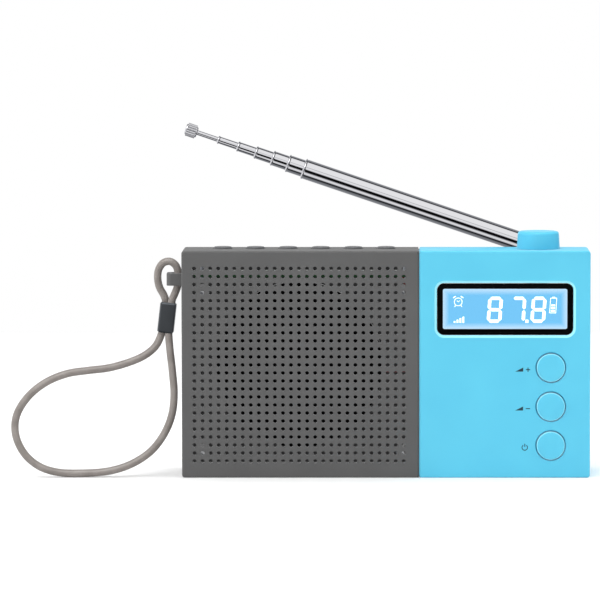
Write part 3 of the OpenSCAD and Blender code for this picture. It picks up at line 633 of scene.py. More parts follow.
@dataclass(frozen=True)
class RoundCord(Finish):
    """Tight round cord with a waxed braid: soft sheen, and fine plaits along it."""

    plait_mm: float = 1.1
    plaits_round: float = 8.0
    depth_mm: float = 0.05

    def detail(self, tree: bpy.types.NodeTree, shader: bpy.types.Node) -> None:
        """Adds the plaits, on the cord's own length and girth.

        Args:
            tree: The material's tree.
            shader: Its shader node.
        """
        along = add_node(tree, "ShaderNodeAttribute", attribute_name="along_mm").outputs["Fac"]
        round_ = add_node(tree, "ShaderNodeAttribute", attribute_name="round_turns").outputs["Fac"]
        waves = []
        for sense in (1, -1):
            turn = add_node(tree, "ShaderNodeMath", {0: round_, 1: self.plaits_round * sense},
                            operation="MULTIPLY")
            step = add_node(tree, "ShaderNodeMath", {
                0: along, 1: 1 / self.plait_mm, 2: turn.outputs[0]}, operation="MULTIPLY_ADD")
            angle = add_node(tree, "ShaderNodeMath", {0: step.outputs[0], 1: math.pi},
                             operation="MULTIPLY")
            waves.append(add_node(tree, "ShaderNodeMath", {0: angle.outputs[0]}, operation="SINE"))
        plait = add_node(tree, "ShaderNodeMath", {0: waves[0].outputs[0], 1: waves[1].outputs[0]},
                         operation="MULTIPLY")
        self.bump(tree, shader, plait.outputs[0], self.depth_mm, 0.35)
        self.vary(tree, shader, self.noise(tree, 5, 2), "#7B746F", "#8E8782")
        self.rough(tree, shader, self.noise(tree, 1.2, 2), 0.06)
        shader.inputs["Specular IOR Level"].default_value = 0.8


@dataclass(frozen=True)
class Weave(Finish):
    """Open plain weave of thin black yarn, as dust cloth is."""

    thread_mm: float = 0.35
    low: str = "#070809"
    high: str = "#131415"

    def detail(self, tree: bpy.types.NodeTree, shader: bpy.types.Node) -> None:
        """Adds warp and weft.

        Args:
            tree: The material's tree.
            shader: Its shader node.
        """
        parts = add_node(tree, "ShaderNodeSeparateXYZ", {0: self.place(tree)})
        waves = []
        for axis in (0, 2):
            angle = add_node(tree, "ShaderNodeMath", {
                0: parts.outputs[axis], 1: math.pi / (self.thread_mm * MM)}, operation="MULTIPLY")
            waves.append(add_node(tree, "ShaderNodeMath", {0: angle.outputs[0]}, operation="SINE"))
        cross = add_node(tree, "ShaderNodeMath", {0: waves[0].outputs[0], 1: waves[1].outputs[0]},
                         operation="MULTIPLY")
        self.vary(tree, shader, cross.outputs[0], self.low, self.high)
        self.bump(tree, shader, cross.outputs[0], 0.05, 0.8)
        shader.inputs["Specular IOR Level"].default_value = 0.05
        shader.inputs["Sheen Weight"].default_value = 0.1


@dataclass(frozen=True)
class Pressed(Finish):
    """Felted or cast stock, such as cone paper, ferrite or foam: cloudy and dull."""

    grain_mm: float = 0.5
    depth_mm: float = 0.03
    low: str = "#1A1A1B"
    high: str = "#343537"

    def detail(self, tree: bpy.types.NodeTree, shader: bpy.types.Node) -> None:
        """Adds fibre or grain.

        Args:
            tree: The material's tree.
            shader: Its shader node.
        """
        grain = self.noise(tree, self.grain_mm, 4)
        self.vary(tree, shader, grain, self.low, self.high)
        self.bump(tree, shader, grain, self.depth_mm, 0.6)


@dataclass(frozen=True)
class SolderMask(Finish):
    """Green solder mask over copper tracks, which show as paler, raised lines."""

    def detail(self, tree: bpy.types.NodeTree, shader: bpy.types.Node) -> None:
        """Adds the tracks.

        Args:
            tree: The material's tree.
            shader: Its shader node.
        """
        cells = add_node(tree, "ShaderNodeTexVoronoi", {
            "Vector": self.place(tree), "Scale": 1 / (2.5 * MM)}, distance="MANHATTAN",
            feature="F1")
        track = add_node(tree, "ShaderNodeMapRange", {
            0: cells.outputs["Distance"], 1: 0.35, 2: 0.42})
        self.vary(tree, shader, track.outputs[0], "#1D5A2C", "#2F7A3E")
        self.bump(tree, shader, track.outputs[0], 0.03, 0.5)
        shader.inputs["Coat Weight"].default_value = 0.3


@dataclass(frozen=True)
class CellJacket(Finish):
    """Printed shrink film on a cell: a dark body with a copper-coloured top band."""

    low_z: float = 0.0
    band: float = 0.035

    def detail(self, tree: bpy.types.NodeTree, shader: bpy.types.Node) -> None:
        """Adds the band, at one height on the cells.

        Args:
            tree: The material's tree.
            shader: Its shader node.
        """
        parts = add_node(tree, "ShaderNodeSeparateXYZ", {0: self.place(tree)})
        high = add_node(tree, "ShaderNodeMapRange", {
            0: parts.outputs[2], 1: self.low_z + self.band, 2: self.low_z + self.band + 0.0004})
        self.vary(tree, shader, high.outputs[0], "#1B1B1D", "#C07A2C")
        self.rough(tree, shader, self.noise(tree, 4, 1), 0.05)
        shader.inputs["Coat Weight"].default_value = 0.5


GREY_ABS = MouldedAbs("satin_grey_abs", "#575757", 0.52, low="#555555", high="#595959")
BLUE_ABS = MouldedAbs("satin_sky_blue_abs", "#57C3E2", 0.46, low="#55C1E1", high="#59C6E4")
# A paler, smoother skin on the window's bevel and the front keys' rims. The plastic itself is
# probably one colour: this stands in for the light that those narrow edges catch.
BLUE_EDGE_HIGHLIGHT = MouldedAbs("rubbed_blue_abs_edge", "#97EAFB", 0.3, depth_mm=0.001)
DARK_ABS = MouldedAbs("satin_dark_key_abs", "#5F6062", 0.48, low="#5D5E60", high="#616264")
BLACK_ABS = MouldedAbs("satin_black_abs", "#17181A", 0.5)
CHROME = BrightMetal("bright_chromed_brass", "#E2E2E5", 0.06, depth_mm=0.0003, spread=0.02)
ZINC = BrightMetal("zinc_plated_steel", "#85888C", 0.42, line_mm=0.4, depth_mm=0.002)
TIN = BrightMetal("tinned_steel_sheet", "#B9BBBD", 0.3, line_mm=0.5, depth_mm=0.002)
NICKEL = BrightMetal("nickel_plated_strip", "#B5AFA4", 0.26, line_mm=0.3)
BRASS = BrightMetal("turned_brass", "#C6A052", 0.28, line_mm=0.25, depth_mm=0.001)
COPPER = BrightMetal("enamelled_copper_wire", "#B5683A", 0.3, line_mm=0.2, depth_mm=0.01)
GUNMETAL = BrightMetal("dark_nickel_plated_zinc", "#666A6E", 0.38, line_mm=0.5, depth_mm=0.003,
                       spread=0.06)
ACRYLIC = ClearAcrylic("cast_acrylic_window", "#F4FAFF", 0.02)
BLACK_INK = GlossInk("gloss_black_ink", "#050607", 0.16)
LABEL_INK = GlossInk("dark_grey_label_ink", "#1E3A48", 0.4)
SEGMENT = LitSegment("lit_white_segment", "#FFFFFF", 0.3, strength=1.25)
GUIDE = LitSegment("frosted_light_guide", "#DCEEFA", 0.5, strength=0.3)
STRAP = RoundCord("waxed_round_cord", "#857E79", 0.38)
CLOTH = Weave("black_dust_cloth", "#101112", 0.9)
SPIDER_CLOTH = Weave("varnished_spider_cloth", "#A88450", 0.7, 0.5, "#8A6A3A", "#B8945C")
PAPER = Pressed("pressed_cone_paper", "#2A2B2C", 0.85)
FOAM = Pressed("rubber_surround", "#191A1B", 0.6, 0.3, 0.01, "#141516", "#1F2021")
FERRITE = Pressed("ground_ferrite", "#3A3B3D", 0.55, 0.4, 0.01, "#333436", "#434446")
EPOXY = Pressed("moulded_epoxy", "#1B1C1E", 0.45, 0.3, 0.008, "#18191B", "#202123")
BLACK_STEEL = Pressed("black_stoved_steel", "#232426", 0.38, 0.6, 0.006, "#202123", "#28292B")
PVC = MouldedAbs("extruded_pvc", "#9B2A22", 0.42)
BOARD = SolderMask("green_solder_mask", "#235F31", 0.35)


# ---------------------------------------------------------------- stage, light and camera


@dataclass
class Studio:
    """A pale floor, a bright surround and soft lights."""

    distance: float = 1.55
    elevation: float = 4.6
    target: Point = (0.0, -0.016, 0.0612)
    seen_w: float = 205.26
    film_w: float = 36.0
    side_shift: float = -0.1433
    # Shade of the surround by its angle above the front, in degrees: gaps between softboxes.
    softboxes: tuple[tuple[float, str], ...] = (
        (-180, "#FFFFFF"), (-158, "#C8C9CC"), (-140, "#96989C"), (-100, "#7D7F83"),
        (-84, "#2C2E31"), (-68, "#26282B"), (-60, "#D5D5D8"), (-45, "#FFFFFF"),
        (-32, "#B4B4B8"), (-27, "#0C0C0D"),
        (-2, "#08080A"), (4, "#F2F2F4"), (20, "#FFFFFF"), (25, "#A9AAAE"), (31, "#FFFFFF"),
        (88, "#FFFFFF"), (98, "#3A3C40"), (108, "#2E3034"), (118, "#8A8B8F"), (145, "#9FA0A4"),
        (160, "#FFFFFF"), (180, "#FFFFFF"))
    # How far to a side the surround turns from the gaps above to a plain softbox.
    side_from: float = 0.5
    side_full: float = 0.72
    mirrored: tuple[str, ...] = ("antenna", "tip_rod", "plated")

    def build(self) -> None:
        """Makes the camera, the world, the floor and the lights."""
        bpy.context.scene.view_settings.view_transform = "Standard"
        self.camera()
        self.world()
        self.floor()
        self.lights()

    def camera(self) -> None:
        """A long lens, low and square on, with the radio right of the middle."""
        lens = bpy.data.cameras.new("camera")
        camera = bpy.data.objects.new("camera", lens)
        bpy.context.scene.collection.objects.link(camera)
        lens.sensor_width = self.film_w
        lens.lens = self.distance * self.film_w / (self.seen_w * MM)
        lens.shift_x = self.side_shift
        lens.clip_start, lens.clip_end = 0.05, 20
        rise = math.radians(self.elevation)
        back = Vector((0, -math.cos(rise), math.sin(rise)))
        camera.location = Vector(self.target) + back * self.distance
        camera.rotation_euler = (math.pi / 2 - rise, 0, 0)
        bpy.context.scene.camera = camera

    def world(self) -> None:
        """A white surround for the eye; for reflections, one with the dark gaps between
        softboxes that make chrome read as chrome."""
        world = bpy.data.worlds.new("studio")
        bpy.context.scene.world = world
        world.use_nodes = True
        tree = world.node_tree
        tree.nodes.clear()
        parts = add_node(tree, "ShaderNodeSeparateXYZ", {
            0: add_node(tree, "ShaderNodeTexCoord").outputs["Generated"]})
        ahead = add_node(tree, "ShaderNodeMath", {0: parts.outputs[1], 1: -1.0},
                         operation="MULTIPLY")
        angle = add_node(tree, "ShaderNodeMath", {0: parts.outputs[2], 1: ahead.outputs[0]},
                         operation="ARCTAN2")
        turn = add_node(tree, "ShaderNodeMapRange", {0: angle.outputs[0], 1: -math.pi, 2: math.pi})
        ramp = add_node(tree, "ShaderNodeValToRGB", {0: turn.outputs[0]})
        stops = [(degrees / 360 + 0.5, shade) for degrees, shade in self.softboxes]
        while len(ramp.color_ramp.elements) < len(stops):
            ramp.color_ramp.elements.new(0.5)
        for stop, (place, shade) in zip(ramp.color_ramp.elements, stops):
            stop.position = place
            stop.color = srgb(shade)
        seen = add_node(tree, "ShaderNodeBackground", {"Color": (1, 1, 1, 1), "Strength": 1.0})
        plain = add_node(tree, "ShaderNodeBackground", {"Color": (1, 1, 1, 1), "Strength": 0.45})
        leftness = add_node(tree, "ShaderNodeMapRange", {
            0: parts.outputs[0], 1: -self.side_from, 2: -self.side_full})
        rightness = add_node(tree, "ShaderNodeMapRange", {
            0: parts.outputs[0], 1: self.side_from, 2: self.side_full})
        left = add_node(tree, "ShaderNodeMix", {
            0: leftness.outputs[0], 6: ramp.outputs[0], 7: srgb("#F0F0F2")}, data_type="RGBA")
        right = add_node(tree, "ShaderNodeMix", {
            0: rightness.outputs[0], 6: left.outputs[2], 7: srgb("#6A6B6E")}, data_type="RGBA")
        mirrored = add_node(tree, "ShaderNodeBackground", {"Color": right.outputs[2],
                                                           "Strength": 1.0})
        path = add_node(tree, "ShaderNodeLightPath")
        gloss = add_node(tree, "ShaderNodeMixShader", {
            0: path.outputs["Is Glossy Ray"], 1: plain.outputs[0], 2: mirrored.outputs[0]})
        mixed = add_node(tree, "ShaderNodeMixShader", {
            0: path.outputs["Is Camera Ray"], 1: gloss.outputs[0], 2: seen.outputs[0]})
        add_node(tree, "ShaderNodeOutputWorld", {0: mixed.outputs[0]})

    def floor(self) -> None:
        """A plain pale floor."""
        bm = bmesh.new()
        bmesh.ops.create_grid(bm, x_segments=1, y_segments=1, size=0.55)
        floor = object_from("floor", bm, turned=False)
        floor.data.materials.append(Pressed("pale_paper_floor", "#FFFFFF", 0.9, 20, 0.0,
                                            "#FAFAFA", "#FFFFFF").material())

    def clear_mirrors(self) -> None:
        """Keeps all but the antenna's metal pieces out of mirror reflections."""
        for obj in bpy.context.scene.objects:
            if obj.type == "MESH":
                obj.visible_glossy = any(word in obj.name for word in self.mirrored)

    def lights(self) -> None:
        """A broad soft light above and in front, one behind, and a weaker one at each side."""
        for name, at, size, watts in (("key", (-0.35, -0.9, 1.1), 0.9, 9.5),
                                      ("top", (0.1, 0.25, 1.2), 1.1, 9.2),
                                      ("right", (1.1, -0.2, 0.45), 0.7, 4.0),
                                      ("left", (-1.1, -0.2, 0.45), 0.7, 4.0)):
            light = bpy.data.lights.new(name, "AREA")
            light.size = size
            light.energy = watts
            lamp = bpy.data.objects.new(name, light)
            lamp.location = at
            lamp.visible_glossy = name == "key"
            way = Vector(at) - Vector((0, 0, 0.05))
            lamp.rotation_euler = way.to_track_quat("Z", "Y").to_euler()
            bpy.context.scene.collection.objects.link(lamp)


# ---------------------------------------------------------------- strap


@dataclass
class WristStrap:
    """One round cord, looped through the lug and held by a metal ferrule."""

    diameter: float = 2.6
    length: float = 218.0
    sides: int = 20
    per_span: int = 6
    ferrule: Point = (-75.4, -6.0, 54.4)
    lean: float = 6.5
    ferrule_size: Point = (5.6, 5.0, 10.6)
    bore: tuple[float, float] = (4.8, 4.1)
    route: list[Point] = field(default_factory=lambda: [
        (-76.5, -5.3, 54.6), (-76.9, -5.3, 50.5), (-78, -5.7, 47), (-79.8, -6.4, 44),
        (-83.4, -7.2, 41.2), (-88.6, -8, 39), (-95.4, -9, 37.2), (-102.6, -10, 36.4),
        (-109.6, -11, 35.4), (-116.3, -12, 32.8), (-122, -12.8, 28.6), (-126, -13.4, 23.2),
        (-127.4, -13.8, 18), (-126.6, -14, 12.6), (-123.6, -14.2, 7.4), (-118.8, -14.4, 3.6),
        (-112.6, -14.5, 1.7), (-104.8, -14.4, 1.4), (-95.6, -14, 2), (-87.6, -13.4, 4.4),
        (-80.8, -12.6, 8.8), (-76.2, -11.6, 14.8), (-73.6, -10.6, 21.4), (-72.9, -9.6, 28.4),
        (-73.5, -8.6, 36), (-74.4, -7.4, 43.6), (-74.8, -6.7, 49.6), (-74.2, -6.7, 55),
        (-73.7, -6.7, 60), (-72.7, -6.5, 62.6), (-71.8, -6.2, 65), (-71.6, -6, 67.6),
        (-71.6, -6, 70.2), (-72.4, -5.9, 72.4), (-74.3, -5.8, 73.7), (-76.6, -5.6, 73.2),
        (-78.2, -5.5, 71), (-78.6, -5.4, 68), (-78, -5.3, 64.8), (-76.5, -5.3, 62),
        (-75.9, -5.3, 59.6), (-76.4, -5.3, 55)])

    def build(self) -> None:
        ferrule = self.make_ferrule()
        path = self.smooth_route()
        cord = self.make_cord(path)

    def smooth_route(self) -> list[Vector]:
        """The route as a smooth curve through its points.

        Returns:
            Points in metres, close enough together to look round.
        """
        points = [Vector(p) * MM for p in self.route]
        padded = [points[0] * 2 - points[1], *points, points[-1] * 2 - points[-2]]
        path = []
        for a, b, c, d in zip(padded, padded[1:], padded[2:], padded[3:]):
            for i in range(self.per_span):
                t = i / self.per_span
                path.append(0.5 * (2 * b + (c - a) * t + (2 * a - 5 * b + 4 * c - d) * t ** 2
                                   + (3 * b - a - 3 * c + d) * t ** 3))
        path.append(points[-1])
        for p in path:
            p.z = max(p.z, (self.diameter / 2 + 0.02) * MM)
        return path

    def make_cord(self, path: list[Vector]) -> bpy.types.Object:
        """Sweeps the round cord along its path.

        Args:
            path: The centre line, in metres.

        Returns:
            The cord.
        """
        bm = bmesh.new()
        along = bm.verts.layers.float.new("along_mm")
        turns = bm.verts.layers.float.new("round_turns")
        rings, run = [], 0.0
        for i, p in enumerate(path):
            way = (path[min(i + 1, len(path) - 1)] - path[max(i - 1, 0)]).normalized()
            across = way.cross(Vector((0, 1, 0))).normalized()
            up = across.cross(way)
            run += (p - path[i - 1]).length / MM if i else 0
            ring = []
            for k in range(self.sides):
                angle = 2 * math.pi * k / self.sides
                vert = bm.verts.new(p + (across * math.cos(angle) + up * math.sin(angle))
                                    * self.diameter / 2 * MM)
                vert[along] = run
                vert[turns] = abs(2 * k / self.sides - 1)
                ring.append(vert)
            rings.append(ring)
        for one, two in zip(rings, rings[1:]):
            for k in range(self.sides):
                after = (k + 1) % self.sides
                bm.faces.new((one[k], one[after], two[after], two[k]))
        bm.faces.new(rings[0])
        bm.faces.new(rings[-1])
        cord = object_from("wrist_cord", bm)
        cord.data.polygons.foreach_set("use_smooth", [True] * len(cord.data.polygons))
        return dress(cord, STRAP, nodes=["strap_cord"])

    def make_ferrule(self) -> bpy.types.Object:
        """A folded metal sleeve with broad bevels.

        Returns:
            The ferrule.
        """
        w, d, h = self.ferrule_size
        e = 0.55
        place = (Matrix.Translation(Vector(self.ferrule) * MM)
                 @ Matrix.Rotation(math.radians(self.lean), 4, "Y"))
        bm = bmesh.new()
        half_w, half_d = w / 2, d / 2
        inner_w, inner_d = self.bore[0] / 2, self.bore[1] / 2

        def ring(a: float, b: float, r: float, z: float) -> list[bmesh.types.BMVert]:
            """One rounded ring of corners at a height."""
            outline = rounded_rect(-a, a, -b, b, r, r, 2)
            return [bm.verts.new(place @ Vector((x * MM, y * MM, z * MM))) for x, y in outline]

        rows = [ring(inner_w, inner_d, 0.5, -h / 2 + 0.1),
                ring(half_w - e, half_d - e, 0.5, -h / 2),
                ring(half_w, half_d, 0.8, -h / 2 + e), ring(half_w, half_d, 0.8, h / 2 - e),
                ring(half_w - e, half_d - e, 0.5, h / 2), ring(inner_w, inner_d, 0.5, h / 2 - 0.1)]
        for one, two in zip(rows, rows[1:] + rows[:1]):
            for k in range(len(one)):
                after = (k + 1) % len(one)
                bm.faces.new((one[k], one[after], two[after], two[k]))
        ferrule = soften(object_from("ferrule", bm), 30, 0.09, 2)
        return dress(ferrule, GUNMETAL, nodes=["strap_ferrule"])


# ---------------------------------------------------------------- cabinet


@dataclass
class Perforation:
    """The field of holes in the speaker half, made as one repeated cell."""

    columns: int = 27
    rows: int = 25
    pitch: float = 2.76
    hole: float = 1.4
    chamfer: float = 0.06
    wall: float = 2.0
    sides: int = 16

    def cell(self) -> bpy.types.Object:
        """One square of the wall with its hole: both faces, the rim and the bore.

        Returns:
            The cell, lying face up at the origin.
        """
        bm = bmesh.new()
        half, r, c = self.pitch / 2, self.hole / 2, self.chamfer
        circle = [(math.cos(2 * math.pi * k / self.sides), math.sin(2 * math.pi * k / self.sides))
                  for k in range(self.sides)]
        square = [(x * half / max(abs(x), abs(y)), y * half / max(abs(x), abs(y)))
                  for x, y in circle]
        layers = [(square, 1.0, 0.0), (circle, r + c, 0.0), (circle, r, -c),
                  (circle, r, -self.wall), (square, 1.0, -self.wall)]
        rings = [[bm.verts.new((x * s * MM, y * s * MM, z * MM)) for x, y in shape]
                 for shape, s, z in layers]
        for one, two in zip(rings, rings[1:]):
            for k in range(self.sides):
                after = (k + 1) % self.sides
                bm.faces.new((one[k], one[after], two[after], two[k]))
        bmesh.ops.recalc_face_normals(bm, faces=bm.faces)
        if sum((f.normal.z for f in bm.faces if f.calc_center_median().z > -1e-9), 0.0) < 0:
            bmesh.ops.reverse_faces(bm, faces=bm.faces)
        return object_from("grille_cell", bm, turned=False)

    def tree(self) -> bpy.types.NodeTree:
        """The node tree that lays cells out in columns and rows.

        Returns:
            The tree, with an input for each size.
        """
        tree = bpy.data.node_groups.new("perforated_field", "GeometryNodeTree")
        for name, kind in (("Cell", "NodeSocketObject"), ("Columns", "NodeSocketInt"),
                           ("Rows", "NodeSocketInt"), ("Width", "NodeSocketFloat"),
                           ("Height", "NodeSocketFloat"), ("Material", "NodeSocketMaterial")):
            tree.interface.new_socket(name, in_out="INPUT", socket_type=kind)
        tree.interface.new_socket("Geometry", in_out="OUTPUT", socket_type="NodeSocketGeometry")
        given = add_node(tree, "NodeGroupInput").outputs
        grid = add_node(tree, "GeometryNodeMeshGrid", {
            "Size X": given["Width"], "Size Y": given["Height"],
            "Vertices X": given["Columns"], "Vertices Y": given["Rows"]})
        cell = add_node(tree, "GeometryNodeObjectInfo", {"Object": given["Cell"]})
        spread = add_node(tree, "GeometryNodeInstanceOnPoints", {
            "Points": grid.outputs["Mesh"], "Instance": cell.outputs["Geometry"]})
        real = add_node(tree, "GeometryNodeRealizeInstances", {0: spread.outputs[0]})
        whole = add_node(tree, "GeometryNodeMergeByDistance", {
            "Geometry": real.outputs[0], "Distance": 0.01 * MM})
        upright = add_node(tree, "GeometryNodeTransform", {
            "Geometry": whole.outputs[0], "Rotation": (math.pi / 2, 0, 0)})
        shaded = add_node(tree, "GeometryNodeSetMaterial", {
            "Geometry": upright.outputs[0], "Material": given["Material"]})
        add_node(tree, "NodeGroupOutput", {"Geometry": shaded.outputs[0]})
        return tree

    def build(self, middle: Vector) -> bmesh.types.BMesh:
        """Makes the whole field with its front face at a place.

        Args:
            middle: Centre of the field on the front face, in metres.

        Returns:
            The field, open round its own edge.
        """
        cell = self.cell()
        holder = link_object("grille_field", bpy.data.meshes.new("grille_field"))
        tree = self.tree()
        modifier = holder.modifiers.new("field", "NODES")
        modifier.node_group = tree
        values = {"Cell": cell, "Columns": self.columns, "Rows": self.rows,
                  "Width": (self.columns - 1) * self.pitch * MM,
                  "Height": (self.rows - 1) * self.pitch * MM, "Material": GREY_ABS.material()}
        for item in tree.interface.items_tree:
            if item.in_out == "INPUT":
                modifier[item.identifier] = values[item.name]
        bake_modifiers(holder)
        bm = bmesh.new()
        bm.from_mesh(holder.data)
        bmesh.ops.translate(bm, vec=middle, verts=bm.verts)
        bpy.data.objects.remove(holder)
        bpy.data.objects.remove(cell)
        return bm


class Side(Enum):
    """Which half of the cabinet a shell belongs to."""

    LEFT = "left"
    RIGHT = "right"


@dataclass
class Cabinet:
    """Four shells, the turret, the lug, the door and the screws."""

    wall: float = 2.0
    corner: float = 1.0
    edge: float = 0.55
    seam_edge: float = 0.75
    rim: float = 0.12
    groove: float = 0.22
    groove_depth: float = 0.6
    hole_flare: float = 0.16
    bevel_w: float = 0.9
    bevel_d: float = 0.6
    window_r: float = 2.4
    fit: float = 0.1
    # The frame's own gap is 0.3; the visible one is wider so that the dark ring shows.
    key_gap: float = 0.36
    key_flange: float = 0.95
    jack_hole_r: float = 2.4

    def build(self) -> None:
        """Makes every outer piece that doesn't move, and the door."""
        self.left_front()
        self.right_front()
        self.rear(Side.LEFT)
        self.rear(Side.RIGHT)
        self.turret()
        self.lug()
        self.door()
        repaint("case_screws", ZINC)

    def bounds(self, node: str, side: Side) -> tuple[float, float, float, float, float, float]:
        """Box of a shell in millimetres, drawn back from the seam by half the groove.

        Args:
            node: The shell's node.
            side: The half that it belongs to.

        Returns:
            Low and high X, low and high Y, and low and high Z.
        """
        low, high = (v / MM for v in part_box(node))
        x0 = low.x + (self.groove if side is Side.RIGHT else 0)
        x1 = high.x - (self.groove if side is Side.LEFT else 0)
        return x0, x1, low.y, high.y, low.z, high.z

    def skin(self, side: Side, box: tuple[float, ...], face: float, mouth: float,
             opening_top: float, lip: float) -> bmesh.types.BMesh:
        """A shell: its inside, its rim, its sides and its rounded face.

        Args:
            side: The half that it belongs to.
            box: Its box, as bounds() gives it.
            face: Y of its outer face.
            mouth: Y of its open side.
            opening_top: Z of the top of the opening.
            lip: Depth of the lip over the opening, or 0.

        Returns:
            The closed skin.
        """
        x0, x1, _, _, z0, z1 = box
        out = 1 if mouth > face else -1
        left = self.corner if side is Side.LEFT else 0.05
        right = self.corner if side is Side.RIGHT else 0.05

        def outline(inset: float, top: float, seam_inset: float) -> Outline:
            """The half's outline, drawn in by a bevel.

            Args:
                inset: How far the free edges are drawn in.
                top: Height of the outline.
                seam_inset: How far the edge on the seam is drawn in.

            Returns:
                The outline.
            """
            a = inset if side is Side.LEFT else seam_inset
            b = seam_inset if side is Side.LEFT else inset
            return rounded_rect(x0 + a, x1 - b, z0 + inset, top - inset,
                                max(left - inset * 0.6, 0.05), max(right - inset * 0.6, 0.05))

        w, e = self.wall, self.edge
        seam_e = self.seam_edge if side is Side.LEFT else e
        inner = opening_top - w
        loops = [(face + out * w, outline(w, z1, w)), (mouth - out * lip, outline(w, z1, w))]
        if lip > 0:
            loops.append((mouth - out * lip, outline(w, inner + w, w)))
        loops += [(mouth, outline(w, inner + w, w)), (mouth, outline(self.rim, z1, self.rim)),
                  (mouth - out * self.rim, outline(0, z1, 0)), (face + out * e, outline(0, z1, 0))]
        for angle in (25, 50, 72, 90):
            turn = math.radians(angle)
            loops.append((face + out * e * (1 - math.sin(turn)),
                          outline(e * (1 - math.cos(turn)), z1, seam_e * (1 - math.cos(turn)))))
        return loft(loops)

    def tongue(self, side: Side, box: tuple[float, ...], top: float) -> bmesh.types.BMesh:
        """The strip that closes the bottom of the seam's groove.

        Args:
            side: The half that it belongs to.
            box: The shell's box.
            top: Z of the shell's top.

        Returns:
            A closed, thin block.
        """
        x0, x1, y0, y1, z0, _ = box
        d = self.groove_depth
        a, b = (x1 - 0.05, x1 + self.groove) if side is Side.LEFT else (x0 - self.groove, x0 + 0.05)
        front = y0 < -10
        ya, yb = (y0 + d, y1) if front else (y0, y1 - d)
        outline = rounded_rect(a, b, z0 + d, top - d, 0.02, 0.02, 1)
        return loft([(ya, outline), (yb, outline)])

    def join(self, target: bmesh.types.BMesh, extra: bmesh.types.BMesh) -> None:
        """Adds one mesh to another and frees the first.

        Args:
            target: The mesh that grows.
            extra: The mesh that is added and freed.
        """
        mesh = bpy.data.meshes.new("part")
        extra.to_mesh(mesh)
        extra.free()
        target.from_mesh(mesh)
        bpy.data.meshes.remove(mesh)

    def key_cutter(self, axis: str, at: Point, radius: float) -> bmesh.types.BMesh:
        """A round cutter that flares where it leaves the surface.

        Args:
            axis: The way out of the surface.
            at: The hole's centre on the surface, in metres.
            radius: The hole's radius in millimetres.

        Returns:
            The cutter.
        """
        f = self.hole_flare
        return lathe([(0, -4), (radius, -4), (radius, -f), (radius + f, 0.0), (radius + f, 0.6),
                      (0, 0.6)], facing(axis, at), 96)

    def left_front(self) -> None:
        """The speaker half's front shell, with its field of holes and its key holes."""
        node = "front_grille_shell"
        box = self.bounds(node, Side.LEFT)
        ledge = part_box("rear_shell_left")[1].z / MM
        shell = object_from(node + "_skin", self.skin(Side.LEFT, box, box[2], box[3], ledge,
                                                      self.wall))
        cutters = []
        for i in range(1, 7):
            low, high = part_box(f"top_key_{i}")
            radius = (high.x - low.x) / 2 / MM - self.key_flange + self.key_gap
            cutters.append(self.key_cutter("+Z", (mid(f"top_key_{i}").x, mid(f"top_key_{i}").y,
                                                  box[5] * MM), radius))
        cut_away(shell, cutters)
        bm = bmesh.new()
        bm.from_mesh(shell.data)
        bpy.data.objects.remove(shell)
        faces = [f for f in bm.faces if f.calc_area() > 1e-3 and abs(f.normal.y) > 0.99
                 and f.calc_center_median().y < (box[2] + self.wall + 0.1) * MM]
        bmesh.ops.delete(bm, geom=faces, context="FACES_ONLY")
        field_ = Perforation()
        cloth = mid("grille_cloth")
        self.join(bm, field_.build(Vector((cloth.x, box[2] * MM, cloth.z))))
        for depth, normal in ((box[2], (0, -1, 0)), (box[2] + self.wall, (0, 1, 0))):
            edges = [e for e in bm.edges if e.is_boundary
                     and all(abs(v.co.y - depth * MM) < 1e-6 for v in e.verts)]
            bmesh.ops.triangle_fill(bm, edges=edges, use_beauty=True, normal=normal)
        self.join(bm, self.tongue(Side.LEFT, box, box[5]))
        shell = soften(object_from(node + "_skin", bm), 32)
        dress(shell, GREY_ABS, nodes=[node])

    def right_front(self) -> None:
        """The display half's front shell, with its bevelled window and its key holes."""
        node = "front_shell_right"
        box = self.bounds(node, Side.RIGHT)
        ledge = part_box("rear_shell_right")[1].z / MM
        shell = object_from(node + "_skin", self.skin(Side.RIGHT, box, box[2], box[3], ledge,
                                                      self.wall))
        cutters = [self.window_cutter(box[2])]
        for key in ("volume_up_key", "volume_down_key", "power_key"):
            low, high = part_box(key)
            radius = (high.x - low.x) / 2 / MM - self.key_flange + self.key_gap
            cutters.append(self.key_cutter("-Y", (mid(key).x, box[2] * MM, mid(key).z), radius))
        jack = mid("phones_jack")
        cutters.append(self.key_cutter("+X", (box[1] * MM, jack.y, jack.z), self.jack_hole_r))
        low, high = (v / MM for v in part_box("usb_socket"))
        slot = rounded_rect(0, high.y - low.y + 0.2, low.z - 0.1, high.z + 0.1, 0.5, 0.5, 3)
        bm = loft([(box[1] - 3, slot), (box[1] + 1, slot)])
        # The loft runs along Y; the slot runs along X, so its axes are swapped.
        for vert in bm.verts:
            x, y, z = vert.co
            vert.co = (y, x + (low.y - 0.1) * MM, z)
        cutters.append(bm)
        cut_away(shell, cutters)
        bm = bmesh.new()
        bm.from_mesh(shell.data)
        bpy.data.objects.remove(shell)
        self.join(bm, self.tongue(Side.RIGHT, box, box[5]))
        shell = soften(object_from(node + "_skin", bm), 32)
        dress(shell, BLUE_ABS, nodes=[node])
        low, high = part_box("display_window")
        reach = (self.bevel_w + 0.1) * MM

        def on_bevel(at: Vector, normal: Vector) -> bool:
            """Whether a face is on the slope round the window."""
            return (-0.95 < normal.y < -0.2 and at.y < (box[2] + self.bevel_d) * MM
                    and low.x - reach < at.x < high.x + reach
                    and low.z - reach < at.z < high.z + reach)

        # The slope round the window gets the paler finish, a painted highlight for the light that
        # the bevel catches.
        edge_finish(shell, BLUE_EDGE_HIGHLIGHT, on_bevel)

    def window_cutter(self, face: float) -> bmesh.types.BMesh:
        """The opening for the window, wider at the front by its bevel.

        Args:
            face: Y of the shell's front face.

        Returns:
            The cutter.
        """
        low, high = (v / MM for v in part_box("display_window"))

